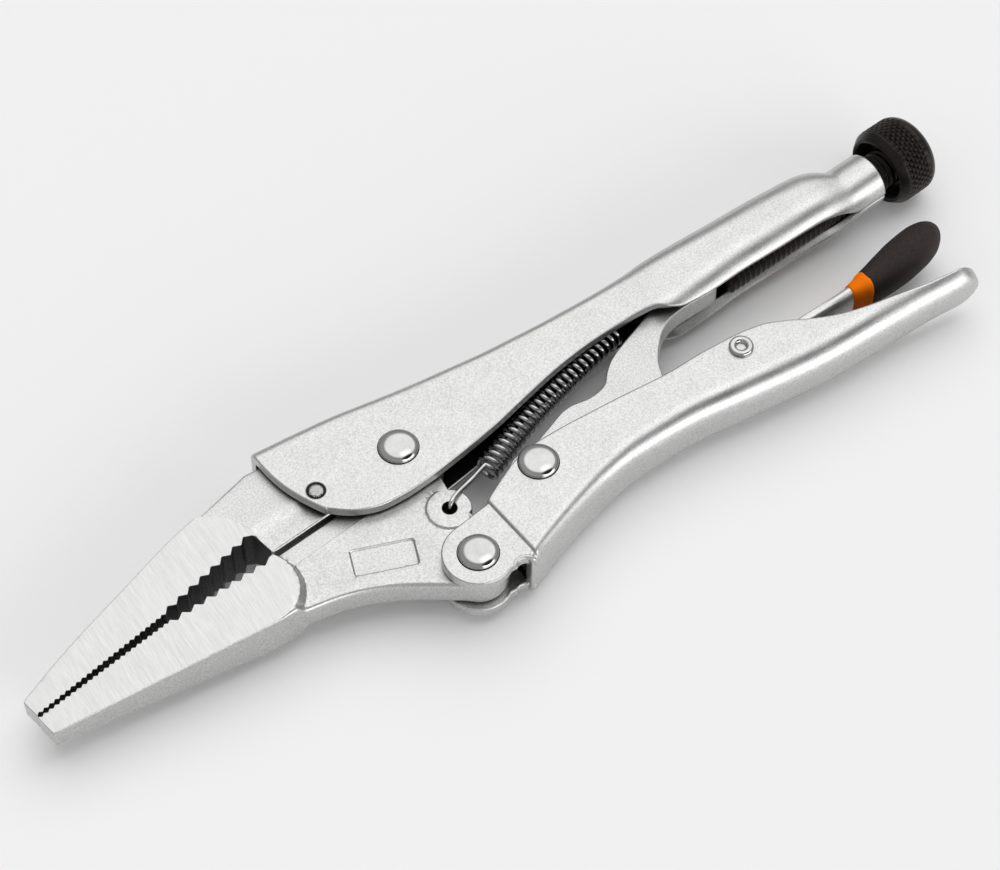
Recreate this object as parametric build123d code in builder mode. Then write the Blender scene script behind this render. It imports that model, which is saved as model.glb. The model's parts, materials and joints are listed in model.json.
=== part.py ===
"""Long-nose locking pliers, lying flat, locked with the jaw tips closed.

The tool's own plane is XY: X runs from the jaw tips to the adjusting screw, Y runs from the
moving handle to the fixed handle, and Z runs along the pivots.  Every piece is drawn about the
main pivot at mid-thickness and is moved at the end, so that the model stands on Z = 0.
"""
import os
from math import cos, hypot, radians, sin

from build123d import *

# ---------------------------------------------------------------- driving dimensions (mm)
nose_length = 57.0          # jaw tip to the heel of the jaw gap
rear_length = 41.0          # link seat to the front of the threaded barrel
heel_x = -36.0              # heel of the jaw gap, measured from the main pivot

handle_pivot = (0.4, -30.9)     # moving handle on the moving jaw
link_pivot = (22.5, -19.1)      # toggle link in the moving handle
link_seat = (80.0, 4.3)         # rounded end of the link, in line with the screw
lever_pivot = (75.0, -17.3)     # release lever in the moving handle
jaw_pin_place = (-20.0, -0.3)
spring_ear = (2.0, -17.1)
screw_tilt = 7.0                # degrees between the screw and the X axis

sheet = 2.5                 # pressed steel of both handles
slot_half = 3.9             # half the gap between the fixed handle's cheeks
raised_half = 4.6           # half the gap inside the moving handle, behind its ears
rear_half = 5.0             # half the gap inside the rolled rear of the fixed handle
ear_radius = 7.6
head_edge = -26.0           # front edge of the fixed handle's cheeks
spine_over_jaw = 15.4       # outer height of the spine where the fixed jaw's tang starts
spine_over_tang_end = 14.3  # and where it ends

nose_heel_half = 5.5        # ground nose, at its heel
nose_tip_half = 2.25        # ground nose, at its tip
jaw_gap = 1.2               # between the two jaw bodies behind the heel
tip_gap = 0.15              # between the jaw tips when locked
heel_gap = 6.4              # between the teeth at the heel
fine_tooth_height = 0.5
coarse_tooth_height = 1.1
fine_teeth = 24
coarse_teeth = 8
recess_depth = 0.8
eye_radius = 9.5            # moving jaw's eye round the main pivot
lug_radius = 6.4            # moving jaw's lug round the handle pivot
spring_ear_radius = 4.7
spring_hole_radius = 1.5

link_half = 2.75
link_hub_radius = 6.4
link_nose_radius = 3.4

screw_radius = 4.6
thread_pitch = 1.5
thread_depth = 0.7
screw_tip_gap = 1.9         # opened pivot of the linkage: screw tip to link end
barrel_radius = 6.2
barrel_length = 9.8
knob_radius = 9.3
knob_length = 11.2
knob_gap = 1.9              # barrel end to knob
knob_dish_depth = 4.4
knob_round = 3.2            # rounding between the knob's side and its back

pivot_shank_radius = 3.4
pivot_head_radius = 4.3
pivot_head_height = 1.7
jaw_pin_radius = 2.0
jaw_pin_recess = 0.3
lever_shank_radius = 1.9
lever_bore_radius = 0.9
lever_head_radius = 2.7
lever_head_height = 1.0

lever_thickness = 2.0
lever_half_width = 3.8
lever_boss_radius = 3.6

coil_radius = 3.1
wire_radius = 0.6
spring_tab_width = 3.0
spring_tab_thickness = 1.6

# ---------------------------------------------------------------- clearances (mm)
side_clearance = 0.15       # a moving flat face beside a cheek, each side
jaw_body_step = 0.25        # a jaw's body stands back from its pads, each side
shank_clearance = 0.05      # a rivet or screw in the hole it turns in, on the radius
eye_clearance = 0.5         # jaw eye to the fixed jaw's tang, on the radius
wire_clearance = 0.3        # spring wire in its holes, on the radius

# ---------------------------------------------------------------- places worked out
tip_x = heel_x - nose_length
barrel_x = link_seat[0] + rear_length
cheek_half = slot_half + sheet
raised_cheek_half = raised_half + sheet
rear_cheek_half = rear_half + sheet
pad_half = slot_half - side_clearance
jaw_body_half = pad_half - jaw_body_step
jaw_top = spine_over_jaw - sheet
tang_end_top = spine_over_tang_end - sheet
far = 60.0                  # reaches past the tool in Z or Y when cutting
open_side = -8.0            # pressed bars are drawn past this height, then trimmed to outline
hollow_side = -5.0          # and their hollows a little past that

mid_plane = Plane.XY
axis_x = cos(radians(screw_tilt))
axis_y = sin(radians(screw_tilt))
link_seat_reach = link_nose_radius + screw_tip_gap      # screw tip, behind the link seat


def along_screw(distance, offset=0.0):
    """A point in the tool's plane, so far behind the link seat along the screw."""
    return (link_seat[0] + distance * axis_x - offset * axis_y,
            link_seat[1] + distance * axis_y + offset * axis_x)


def screw_plane(distance):
    """A plane square to the screw, facing its knob."""
    x, y = along_screw(distance)
    return Plane(origin=(x, y, 0), x_dir=(-axis_y, axis_x, 0), z_dir=(axis_x, axis_y, 0))


def between(x, x_start, y_start, x_end, y_end):
    """Height at x of the straight line between two points."""
    return y_start + (y_end - y_start) * (x - x_start) / (x_end - x_start)


def cross_plane(x):
    """A plane square to X, with its own X along Y and its own Y along Z."""
    return Plane(origin=(x, 0, 0), x_dir=(0, 1, 0), z_dir=(1, 0, 0))


def channel(stations, inset, end_radius=0.0):
    """A closed rounded bar through cross-sections (x, top, bottom, half width, corner radius).

    With an end radius, it closes to a round end square to the screw, at the barrel.
    """
    with BuildPart(mode=Mode.PRIVATE) as bar:
        for x, top, bottom, half, corner in stations:
            height = top - bottom - 2 * inset
            width = 2 * (half - inset)
            radius = max(corner - inset, 0.3)
            with BuildSketch(cross_plane(x)):
                with Locations(((top + bottom) / 2, 0)):
                    RectangleRounded(height, width, min(radius, 0.49 * min(height, width)))
        if end_radius:
            with BuildSketch(screw_plane(barrel_start)):
                RectangleRounded(2 * end_radius, 2 * end_radius, 0.99 * end_radius)
        loft(ruled=True)
    return bar.part


def toothed_line(start, end, count, height, rise):
    """Points of a row of teeth from start to end; rise is +1 or -1 for the side they grow to."""
    length = hypot(end[0] - start[0], end[1] - start[1])
    step = ((end[0] - start[0]) / count, (end[1] - start[1]) / count)
    normal = (-(end[1] - start[1]) / length * height * rise, (end[0] - start[0]) / length * height * rise)
    points = []
    for tooth in range(count):
        points.append((start[0] + step[0] * tooth, start[1] + step[1] * tooth))
        points.append((start[0] + step[0] * (tooth + 0.5) + normal[0],
                       start[1] + step[1] * (tooth + 0.5) + normal[1]))
    return points + [end]


# ---------------------------------------------------------------- jaw lines shared by both jaws
split_slope = 0.133         # run of the gap between the jaw bodies
split_y = -6.9              # fixed jaw's lower edge at the heel
heel_teeth_y = -2.3
fine_share = 0.58           # share of the nose that has the fine teeth
tip_split = (tip_x + 0.9, -14.8)
mid_split = (tip_x + fine_share * nose_length, -9.4)
fine_spread = 1.4           # gap between the teeth where the fine ones end


def split_height(x):
    """Lower edge of the fixed jaw's body at x."""
    return split_y + split_slope * (x - heel_x)


upper_tip = (tip_split[0], tip_split[1] + tip_gap / 2)
lower_tip = (tip_split[0], tip_split[1] - tip_gap / 2)
upper_mid = (mid_split[0], mid_split[1] + fine_spread / 2)
lower_mid = (mid_split[0], mid_split[1] - fine_spread / 2)
upper_heel = (heel_x - 0.3, heel_teeth_y)
lower_heel = (heel_x - 0.1, heel_teeth_y - heel_gap)
upper_teeth = (toothed_line(upper_tip, upper_mid, fine_teeth, fine_tooth_height, 1)[:-1]
               + toothed_line(upper_mid, upper_heel, coarse_teeth, coarse_tooth_height, 1))
lower_teeth = (toothed_line(lower_tip, lower_mid, fine_teeth, fine_tooth_height, -1)[:-1]
               + toothed_line(lower_mid, lower_heel, coarse_teeth, coarse_tooth_height, -1))


def ground_wedge():
    """The space between the two ground side faces of the nose, thinner towards the tip."""
    with BuildPart(mode=Mode.PRIVATE) as wedge:
        with BuildSketch(Plane.XZ):
            with BuildLine():
                Polyline((tip_x - 1, -nose_tip_half), (heel_x, -nose_heel_half), (heel_x + 4, -nose_heel_half),
                         (heel_x + 4, nose_heel_half), (heel_x, nose_heel_half), (tip_x - 1, nose_tip_half),
                         close=True)
            make_face()
        extrude(amount=far, both=True)
    return wedge.part


# ---------------------------------------------------------------- fixed handle
def neck_bottom(x):
    """Rolled lips of the rear part: their height at x."""
    return between(x, link_seat[0], -0.1, link_seat[0] + 30, 2.9)


spine_line = [(head_edge - 4, 15.7), (-10.0, 15.2), (10.0, 13.4), (30.0, 12.4), (46.0, 12.5), (60.0, 13.4)]
lip_curl = 1.1              # how far the rolled section would close below the lips
lip_slot_half = 5.3         # half the slot between the rolled lips
bulge_x = barrel_x - 9.0
cheek_reach = -16.0         # bar's lower side before trimming, along the flat cheeks
head_stations = [(x, top, cheek_reach, cheek_half, 2.6) for x, top in spine_line[:-1]]
head_stations.append((*spine_line[-1], cheek_reach + 9, cheek_half, 3.0))
rear_stations = [
    (70.0, 15.0, neck_bottom(70.0) - lip_curl, rear_cheek_half, 5.0),
    (link_seat[0] + 4, 16.2, neck_bottom(link_seat[0] + 4) - lip_curl, rear_cheek_half, 5.6),
    (bulge_x - 12, 17.4, neck_bottom(bulge_x - 12) - lip_curl, rear_cheek_half, 6.4),
    (bulge_x, 18.0, neck_bottom(bulge_x) - lip_curl, rear_cheek_half, 7.0),
]
fixed_stations = head_stations + rear_stations
bore_radius = screw_radius + shank_clearance
barrel_start = rear_length / axis_x
barrel_end = barrel_start + barrel_length
bore_step = 0.1             # the hollow meets the bore this much inside its wall
tab_x = 63.0                # tongue inside the spine that holds the spring's rear hook
tab_bottom = 4.2
hook_height = 6.2           # spring's rear hook, through the tongue

fixed_outside = channel(fixed_stations, 0, barrel_radius)
fixed_hollow = channel(fixed_stations, sheet, bore_radius - bore_step)

with BuildPart() as fixed_handle:
    add(fixed_outside)
    with BuildSketch(screw_plane(barrel_start)):
        Circle(barrel_radius)
    extrude(amount=barrel_length)
    # hollow inside, closing to the screw's bore
    add(fixed_hollow, mode=Mode.SUBTRACT)
    with BuildSketch(screw_plane(link_seat_reach)):
        Circle(bore_radius)
    extrude(amount=barrel_end - link_seat_reach + 1, mode=Mode.SUBTRACT)
    # outline of the cheeks: slanting front edge, lobe, lower edge, step down to the rolled lips
    with BuildSketch(mid_plane):
        with BuildLine():
            front = Spline((head_edge + 0.2, 10.0), (head_edge + 1.6, 5.0), (head_edge + 3.4, -1.0),
                           (head_edge + 6.0, -5.2), (-15.0, -8.9), (-8.0, -10.6), (0.0, -10.2),
                           (10.0, -8.3), (20.0, -6.0), (30.0, -3.0), (40.0, -0.2), (50.0, 1.7),
                           (58.0, 2.5), (64.5, 2.8))
            Polyline(front @ 1, (70.0, neck_bottom(70.0)), (72.0, neck_bottom(70.0) - 4),
                     (barrel_x + 40, neck_bottom(70.0) - 4), (barrel_x + 40, far),
                     (head_edge - 0.6, far), front @ 0)
        make_face()
    extrude(amount=far, both=True, mode=Mode.INTERSECT)
    # slot between the rolled lips, closing at the neck
    with BuildSketch(Plane(origin=(0, -far, 0), x_dir=(1, 0, 0), z_dir=(0, 1, 0))):
        with BuildLine():
            Polyline((60.0, -lip_slot_half), (bulge_x - 5, -lip_slot_half), (barrel_x - 1.0, -0.3),
                     (barrel_x - 1.0, 0.3), (bulge_x - 5, lip_slot_half), (60.0, lip_slot_half), close=True)
        make_face()
    extrude(amount=far + link_seat[1] + 2, mode=Mode.SUBTRACT)
    # tongue for the spring's rear hook
    with BuildSketch(mid_plane):
        with BuildLine():
            Polyline((tab_x, tab_bottom), (tab_x + spring_tab_thickness, tab_bottom),
                     (tab_x + spring_tab_thickness, 11.6), (tab_x, 11.6), close=True)
        make_face()
    extrude(amount=spring_tab_width / 2, both=True)
    with BuildSketch(cross_plane(tab_x - 1)):
        with Locations((hook_height, 0)):
            Circle(wire_radius + wire_clearance)
    extrude(amount=spring_tab_thickness + 2, mode=Mode.SUBTRACT)
    # holes for the main pivot rivet and the jaw pin
    with BuildSketch(mid_plane):
        Circle(pivot_shank_radius + shank_clearance)
        with Locations(jaw_pin_place):
            Circle(jaw_pin_radius)
    extrude(amount=far, both=True, mode=Mode.SUBTRACT)

# ---------------------------------------------------------------- fixed jaw
upper_split = [(heel_x + 2.1, split_height(heel_x + 2.1)), (-eye_radius, split_height(-eye_radius))]
nose_back = (heel_x - 8.3, 8.1)
nose_wedge = ground_wedge()

with BuildPart() as fixed_jaw:
    # nose: outline with teeth, between the two ground side faces
    with BuildSketch(mid_plane):
        with BuildLine():
            top_edge = Spline((tip_x + 0.6, -9.9), (tip_x + 13.6, -4.3), (heel_x - 28.0, 1.4), nose_back)
            heel_arc = ThreePointArc(nose_back, (heel_x - 2.0, 3.6), (heel_x + 0.4, heel_teeth_y - 1.0))
            Polyline(*upper_teeth)
            Line(upper_teeth[-1], heel_arc @ 1)
            Polyline(top_edge @ 0, (tip_x - 0.1, -10.9), upper_teeth[0])
        make_face()
    extrude(amount=far, both=True)
    add(nose_wedge, mode=Mode.INTERSECT)
    # body behind the nose
    with BuildSketch(mid_plane):
        with BuildLine():
            Polyline((nose_back[0] - 4, 6.0), nose_back, (-30.0, jaw_top), (head_edge + 5, jaw_top),
                     (head_edge + 5, split_height(head_edge + 5)), upper_split[0],
                     (heel_x + 0.6, -3.6), upper_heel, (heel_x - 8, -2.0), close=True)
        make_face()
    extrude(amount=jaw_body_half, both=True)
    # tang between the cheeks, up to the spine and round the moving jaw's eye
    with BuildSketch(mid_plane):
        with BuildLine():
            Polyline((head_edge + 3, jaw_top), (-2.0, tang_end_top), (-2.0, 0), upper_split[1],
                     (head_edge + 4.5, split_height(head_edge + 4.5)), close=True)
        make_face()
        Circle(eye_radius + eye_clearance, mode=Mode.SUBTRACT)
    extrude(amount=slot_half, both=True)
    # recessed strip along the split, on both sides, with a sloping upper edge
    for side in (1, -1):
        with BuildSketch(cross_plane(heel_x)):
            with BuildLine():
                Polyline((split_y - 2, side * far), (split_y - 2, side * (jaw_body_half - recess_depth)),
                         (-1.7, side * (jaw_body_half - recess_depth)), (-0.5, side * jaw_body_half),
                         (-0.5, side * far), close=True)
            make_face()
        extrude(amount=head_edge + 3 - heel_x, mode=Mode.SUBTRACT)
    with BuildSketch(mid_plane):
        with Locations(jaw_pin_place):
            Circle(jaw_pin_radius)
    extrude(amount=far, both=True, mode=Mode.SUBTRACT)


# ---------------------------------------------------------------- moving jaw
lower_body = [(-36.0, -22.4), (-28.0, -23.5), (-22.0, -25.2), (-16.0, -27.8), (-9.0, -32.0)]
plaque_place = (-15.4, -19.9)
plaque_size = (14.0, 6.8)
plaque_turn = -18.7
plaque_depth = 0.5
split_start = (heel_x + 2.2, split_height(heel_x + 2.2) - jaw_gap)
split_end = (-eye_radius, split_height(-eye_radius) - jaw_gap)

with BuildPart() as moving_jaw:
    # nose
    with BuildSketch(mid_plane):
        with BuildLine():
            bottom = Line((tip_x + 1.7, -20.0), (heel_x - 5.5, -22.7))
            heel_round = ThreePointArc(bottom @ 1, (heel_x + 2.8, -13.6), (heel_x + 2.0, lower_heel[1] - 0.3))
            Polyline(heel_round @ 1, *reversed(lower_teeth), bottom @ 0)
        make_face()
    extrude(amount=far, both=True)
    add(nose_wedge, mode=Mode.INTERSECT)
    # body from the heel to the eye and the lug
    with BuildSketch(mid_plane):
        with BuildLine():
            Polyline((heel_x - 6, -12.0), lower_heel, split_start, split_end, (0, 0), (4.4, -8.0), (4.3, -13.0),
                     spring_ear, (handle_pivot[0] + 5.9, -22.0), (handle_pivot[0] + 6.0, handle_pivot[1] + 2),
                     handle_pivot, (handle_pivot[0] - 4.0, handle_pivot[1] - 4.9), *reversed(lower_body),
                     (heel_x - 6, -22.7), close=True)
        make_face()
    extrude(amount=jaw_body_half, both=True)
    # raised pads: eye, spring ear and lug
    with BuildSketch(mid_plane):
        Circle(eye_radius)
        with Locations(handle_pivot):
            Circle(lug_radius)
        with Locations(spring_ear):
            Circle(spring_ear_radius)
    extrude(amount=pad_half, both=True)
    # recessed strip along the split, and the sunk panel, on both sides
    for side in (1, -1):
        with BuildSketch(cross_plane(heel_x + 2)):
            with BuildLine():
                Polyline((-11.8, side * far), (-11.8, side * (jaw_body_half - recess_depth)),
                         (split_y + 3, side * (jaw_body_half - recess_depth)), (split_y + 3, side * far),
                         close=True)
            make_face()
        extrude(amount=-heel_x - eye_radius - 8, mode=Mode.SUBTRACT)
        with BuildSketch(mid_plane.offset(side * jaw_body_half)):
            with Locations(Location((plaque_place[0], plaque_place[1], 0), (0, 0, plaque_turn))):
                RectangleRounded(*plaque_size, 0.8)
        extrude(amount=-side * plaque_depth, mode=Mode.SUBTRACT)
    # holes for the two pivots and the spring's hook
    with BuildSketch(mid_plane):
        Circle(pivot_shank_radius + shank_clearance)
        with Locations(handle_pivot):
            Circle(pivot_shank_radius + shank_clearance)
        with Locations(spring_ear):
            Circle(spring_hole_radius)
    extrude(amount=far, both=True, mode=Mode.SUBTRACT)

# ---------------------------------------------------------------- moving handle
ear_back_x = handle_pivot[0] + 8.4      # where the ears step out to the wider channel
tail_x = barrel_x + 11.8
spine_floor = [(ear_back_x + 2.0, -37.6, 2.2), (15.0, -36.0, 2.6), (24.0, -32.7, 3.2), (34.0, -29.6, 4.0),
               (44.0, -27.8, 4.6), (56.0, -27.2, 5.0), (74.0, -28.4, 5.4), (link_seat[0] + 12, -29.2, 5.8),
               (tail_x - 24, -28.6, 6.0), (tail_x - 13, -28.0, 6.2), (tail_x - 7, -28.2, 6.2)]
moving_stations = ([(-9.0, open_side, -42.0, cheek_half, 1.5),
                    (ear_back_x, open_side, -38.4, cheek_half, 1.8)]
                   + [(x, open_side, floor, raised_cheek_half, corner) for x, floor, corner in spine_floor])
tail_stations = [(tail_x - 2.2, -10.0, -27.4, 5.2, 5.0), (tail_x - 0.6, -12.0, -26.6, 3.4, 3.3),
                 (tail_x, -14.0, -25.8, 1.4, 1.3)]
notch_place = (ear_back_x - 1.8, -38.9)
notch_radius = 2.0

moving_outside = channel(moving_stations + tail_stations, 0)
moving_hollow = channel([(x, hollow_side, floor, half, corner)
                         for x, top, floor, half, corner in moving_stations]
                        + [(tail_x - 3.0, hollow_side, -27.2, 4.6, 4.5)], sheet)

with BuildPart() as moving_handle:
    add(moving_outside)
    add(moving_hollow, mode=Mode.SUBTRACT)
    # the spine stops behind the ears
    with BuildSketch(mid_plane):
        with Locations((ear_back_x - 20, -30)):
            Rectangle(40, far)
    extrude(amount=slot_half, both=True, mode=Mode.SUBTRACT)
    # outline: ears round the handle pivot, upper edge of the cheeks, relief notch
    with BuildSketch(mid_plane):
        with BuildLine():
            edge = Spline((handle_pivot[0] - 2.0, handle_pivot[1] + 7.2), (9.0, -21.1), (14.0, -18.3), (19.0, -15.8),
                          (25.0, -14.4), (40.0, -14.1), (57.0, -14.4), (lever_pivot[0], -13.7),
                          (link_seat[0] + 5, -15.3), (link_seat[0] + 12, -18.8), (tail_x - 34, -21.4),
                          (tail_x - 20, -23.4), (tail_x - 8, -24.5), (tail_x + 1, -25.0))
            Polyline(edge @ 1, (tail_x + 1, -far), (ear_back_x - 0.2, -far),
                     (ear_back_x - 0.2, notch_place[1] - 0.4), notch_place, handle_pivot, edge @ 0)
        make_face()
        with Locations(handle_pivot):
            Circle(ear_radius)
        with Locations(notch_place):
            Circle(notch_radius, mode=Mode.SUBTRACT)
    extrude(amount=far, both=True, mode=Mode.INTERSECT)
    # rivet holes
    with BuildSketch(mid_plane):
        with Locations(handle_pivot, link_pivot):
            Circle(pivot_shank_radius + shank_clearance)
        with Locations(lever_pivot):
            Circle(lever_shank_radius + shank_clearance)
    extrude(amount=far, both=True, mode=Mode.SUBTRACT)

# ---------------------------------------------------------------- toggle link
with BuildPart() as toggle_link:
    with BuildSketch(mid_plane):
        with BuildLine():
            seat_top = (link_seat[0] - 1.4, link_seat[1] + link_nose_radius - 0.3)
            seat_low = (link_seat[0] + 1.2, link_seat[1] - link_nose_radius + 0.2)
            upper = Spline((link_pivot[0] + 2.0, link_pivot[1] + link_hub_radius - 0.3), (29.4, -10.9),
                           (36.4, -8.2), (42.4, -8.5), (46.6, -7.4), (49.2, -4.6), (53.0, -1.8),
                           (62.0, 2.2), (70.0, 5.6), seat_top)
            lower = Spline(seat_low, (71.0, -1.5), (64.0, -5.6), (59.8, -8.8), (58.2, -12.6), (55.0, -16.6),
                           (47.0, -20.4), (36.0, -23.4), (link_pivot[0] + 1.0, link_pivot[1] - link_hub_radius))
            Polyline(upper @ 1, link_seat, lower @ 0)
            Polyline(lower @ 1, link_pivot, upper @ 0)
        make_face()
        with Locations(link_pivot):
            Circle(link_hub_radius)
            Circle(pivot_shank_radius + shank_clearance, mode=Mode.SUBTRACT)
        with Locations(link_seat):
            Circle(link_nose_radius)
    extrude(amount=link_half, both=True)

# ---------------------------------------------------------------- rivets
def domed_rivet(half_grip, place):
    """A solid rivet with a low domed head on each side of the cheeks."""
    rim = half_grip + 0.3 * pivot_head_height
    crown = 0.7 * pivot_head_height
    dome_radius = (pivot_head_radius ** 2 + crown ** 2) / (2 * crown)
    shoulder = pivot_head_radius / 2
    shoulder_rise = crown - dome_radius + (dome_radius ** 2 - shoulder ** 2) ** 0.5
    with BuildPart(mode=Mode.PRIVATE) as rivet:
        with BuildSketch(Plane(origin=(place[0], place[1], 0), x_dir=(1, 0, 0), z_dir=(0, -1, 0))):
            with BuildLine():
                Polyline((0, 0), (pivot_shank_radius, 0), (pivot_shank_radius, half_grip),
                         (pivot_head_radius, half_grip), (pivot_head_radius, rim))
                ThreePointArc((pivot_head_radius, rim), (shoulder, rim + shoulder_rise), (0, rim + crown))
                Line((0, rim + crown), (0, 0))
            make_face()
        revolve(axis=Axis((place[0], place[1], 0), (0, 0, 1)))
        mirror(about=mid_plane)
    return rivet.part


with BuildPart() as main_pivot_rivet:
    add(domed_rivet(cheek_half, (0, 0)))

with BuildPart() as handle_pivot_rivet:
    add(domed_rivet(cheek_half, handle_pivot))

with BuildPart() as link_pivot_rivet:
    add(domed_rivet(raised_cheek_half, link_pivot))

with BuildPart() as jaw_fixing_pin:
    with BuildSketch(mid_plane):
        with Locations(jaw_pin_place):
            Circle(jaw_pin_radius)
    extrude(amount=cheek_half - jaw_pin_recess, both=True)

lever_rivet_plane = Plane(origin=(lever_pivot[0], lever_pivot[1], 0), x_dir=(1, 0, 0), z_dir=(0, -1, 0))
lever_rivet_axis = Axis((lever_pivot[0], lever_pivot[1], 0), (0, 0, 1))

with BuildPart() as lever_rivet:
    with BuildSketch(lever_rivet_plane):
        with BuildLine():
            Polyline((lever_bore_radius, 0), (lever_shank_radius, 0), (lever_shank_radius, raised_cheek_half),
                     (lever_head_radius, raised_cheek_half))
            ThreePointArc((lever_head_radius, raised_cheek_half),
                          ((lever_head_radius + lever_bore_radius) / 2, raised_cheek_half + lever_head_height),
                          (lever_bore_radius, raised_cheek_half + 0.35))
            Line((lever_bore_radius, raised_cheek_half + 0.35), (lever_bore_radius, 0))
        make_face()
    revolve(axis=lever_rivet_axis)
    mirror(about=mid_plane)

# ---------------------------------------------------------------- release lever
grip_start_x = barrel_x - 10.8
grip_end_x = barrel_x + 12.6
collar_length = 4.6
lever_line = [(lever_pivot[0] - 20.5, -22.0), (lever_pivot[0] - 9, -20.2), lever_pivot,
              (lever_pivot[0] + 9, -17.4), (link_seat[0] + 13, -16.4), (grip_start_x - 5, -15.4),
              (grip_start_x + 5, -14.4),
              (grip_start_x + 16, -11.9), (grip_end_x - 4, -10.6)]

with BuildPart() as release_lever:
    with BuildSketch(mid_plane):
        with BuildLine():
            Spline(*lever_line)
        trace(line_width=lever_thickness)
    extrude(amount=lever_half_width, both=True)
    # boss between the cheeks, bored for its rivet
    with BuildSketch(mid_plane):
        with Locations(lever_pivot):
            Circle(lever_boss_radius)
    extrude(amount=raised_half - side_clearance, both=True)
    with BuildSketch(mid_plane):
        with Locations(lever_pivot):
            Circle(lever_shank_radius + shank_clearance)
    extrude(amount=far, both=True, mode=Mode.SUBTRACT)

# grip and collar: cross-sections (x, middle, half height, half width)
collar_sections = [(grip_start_x - collar_length, -15.5, 2.3, 4.4), (grip_start_x, -14.9, 3.0, 5.1)]
grip_sections = [(grip_start_x, -14.9, 3.1, 5.2), (grip_start_x + 6, -13.8, 3.9, 5.9),
                 (grip_start_x + 12, -12.5, 4.3, 6.2), (grip_start_x + 18, -11.1, 4.1, 6.0),
                 (grip_end_x - 2, -10.4, 2.9, 4.4), (grip_end_x, -10.2, 1.0, 1.8)]

with BuildPart() as lever_collar:
    for x, middle, half_height, half_width in collar_sections:
        with BuildSketch(cross_plane(x)):
            with Locations((middle, 0)):
                Ellipse(half_height, half_width)
    loft()
    add(release_lever.part, mode=Mode.SUBTRACT)

with BuildPart() as lever_grip:
    for x, middle, half_height, half_width in grip_sections:
        with BuildSketch(cross_plane(x)):
            with Locations((middle, 0)):
                Ellipse(half_height, half_width)
    loft()
    add(release_lever.part, mode=Mode.SUBTRACT)

# ---------------------------------------------------------------- adjusting screw
knob_start = barrel_end + knob_gap
band_start = knob_start + 2.9
band_end = knob_start + knob_length - knob_round
thread_turns = int((knob_start + knob_dish_depth - barrel_end - 0.6) / thread_pitch)
screw_work_plane = Plane(origin=(link_seat[0], link_seat[1], 0), x_dir=(axis_x, axis_y, 0), z_dir=(0, 0, 1))
screw_axis = Axis((link_seat[0], link_seat[1], 0), (axis_x, axis_y, 0))

with BuildPart() as adjusting_screw:
    with BuildSketch(screw_work_plane):
        with BuildLine():
            Polyline((link_seat_reach, 0), (link_seat_reach, screw_radius - 1.2),
                     (link_seat_reach + 1.2, screw_radius),
                     (knob_start + knob_dish_depth, screw_radius), (knob_start + knob_dish_depth, screw_radius + 0.8),
                     (knob_start, knob_radius - 1.9), (knob_start, knob_radius - 1.3), (band_start, knob_radius),
                     (band_end, knob_radius))
            back = CenterArc((band_end, knob_radius - knob_round), knob_round, 90, -90)
            Polyline(back @ 1, (knob_start + knob_length, 0), (link_seat_reach, 0))
        make_face()
    revolve(axis=screw_axis)
    # grooves of the thread where it shows between barrel and knob
    with BuildSketch(screw_work_plane):
        for turn in range(thread_turns):
            with BuildLine():
                groove = barrel_end + 0.6 + turn * thread_pitch
                Polyline((groove, screw_radius + 0.1), (groove + thread_pitch / 2, screw_radius - thread_depth),
                         (groove + thread_pitch * 0.98, screw_radius + 0.1), close=True)
            make_face()
    revolve(axis=screw_axis, mode=Mode.SUBTRACT)

# ---------------------------------------------------------------- jaw spring
coil_start = (14.4, -11.2)
coil_end = (57.0, 5.0)
coil_length = hypot(coil_end[0] - coil_start[0], coil_end[1] - coil_start[1])
coil_direction = ((coil_end[0] - coil_start[0]) / coil_length, (coil_end[1] - coil_start[1]) / coil_length, 0)
coil_plane = Plane(origin=(*coil_start, 0), x_dir=(-coil_direction[1], coil_direction[0], 0),
                   z_dir=coil_direction)
wire_ride = coil_radius - wire_radius - 0.1
hook_top = pad_half + wire_radius + wire_clearance

with BuildPart() as jaw_spring:
    with BuildSketch(coil_plane):
        Circle(coil_radius)
        Circle(coil_radius - 2 * wire_radius - 0.2, mode=Mode.SUBTRACT)
    extrude(amount=coil_length)
    # front hook: over the ear and down through its hole
    with BuildLine():
        front_hook = FilletPolyline((coil_start[0] + 0.6, coil_start[1] + 0.2, wire_ride),
                                    (coil_start[0] - 4.6, coil_start[1] - 2.3, hook_top - 0.2),
                                    (spring_ear[0], spring_ear[1], hook_top),
                                    (spring_ear[0], spring_ear[1], 0.0), radius=0.9)
    with BuildSketch(Plane(origin=front_hook @ 0, z_dir=front_hook % 0)):
        Circle(wire_radius)
    sweep(path=front_hook)
    # rear hook: through the tongue under the spine
    with BuildLine():
        rear_hook = FilletPolyline((coil_end[0] - 0.6, coil_end[1] + wire_ride - 0.2, 0),
                                   (coil_end[0] + 2.4, hook_height + 0.3, 0),
                                   (tab_x - 0.6, hook_height, 0),
                                   (tab_x + spring_tab_thickness + 1.6, hook_height, 0), radius=0.8)
    with BuildSketch(Plane(origin=rear_hook @ 0, z_dir=rear_hook % 0)):
        Circle(wire_radius)
    sweep(path=rear_hook)

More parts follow.
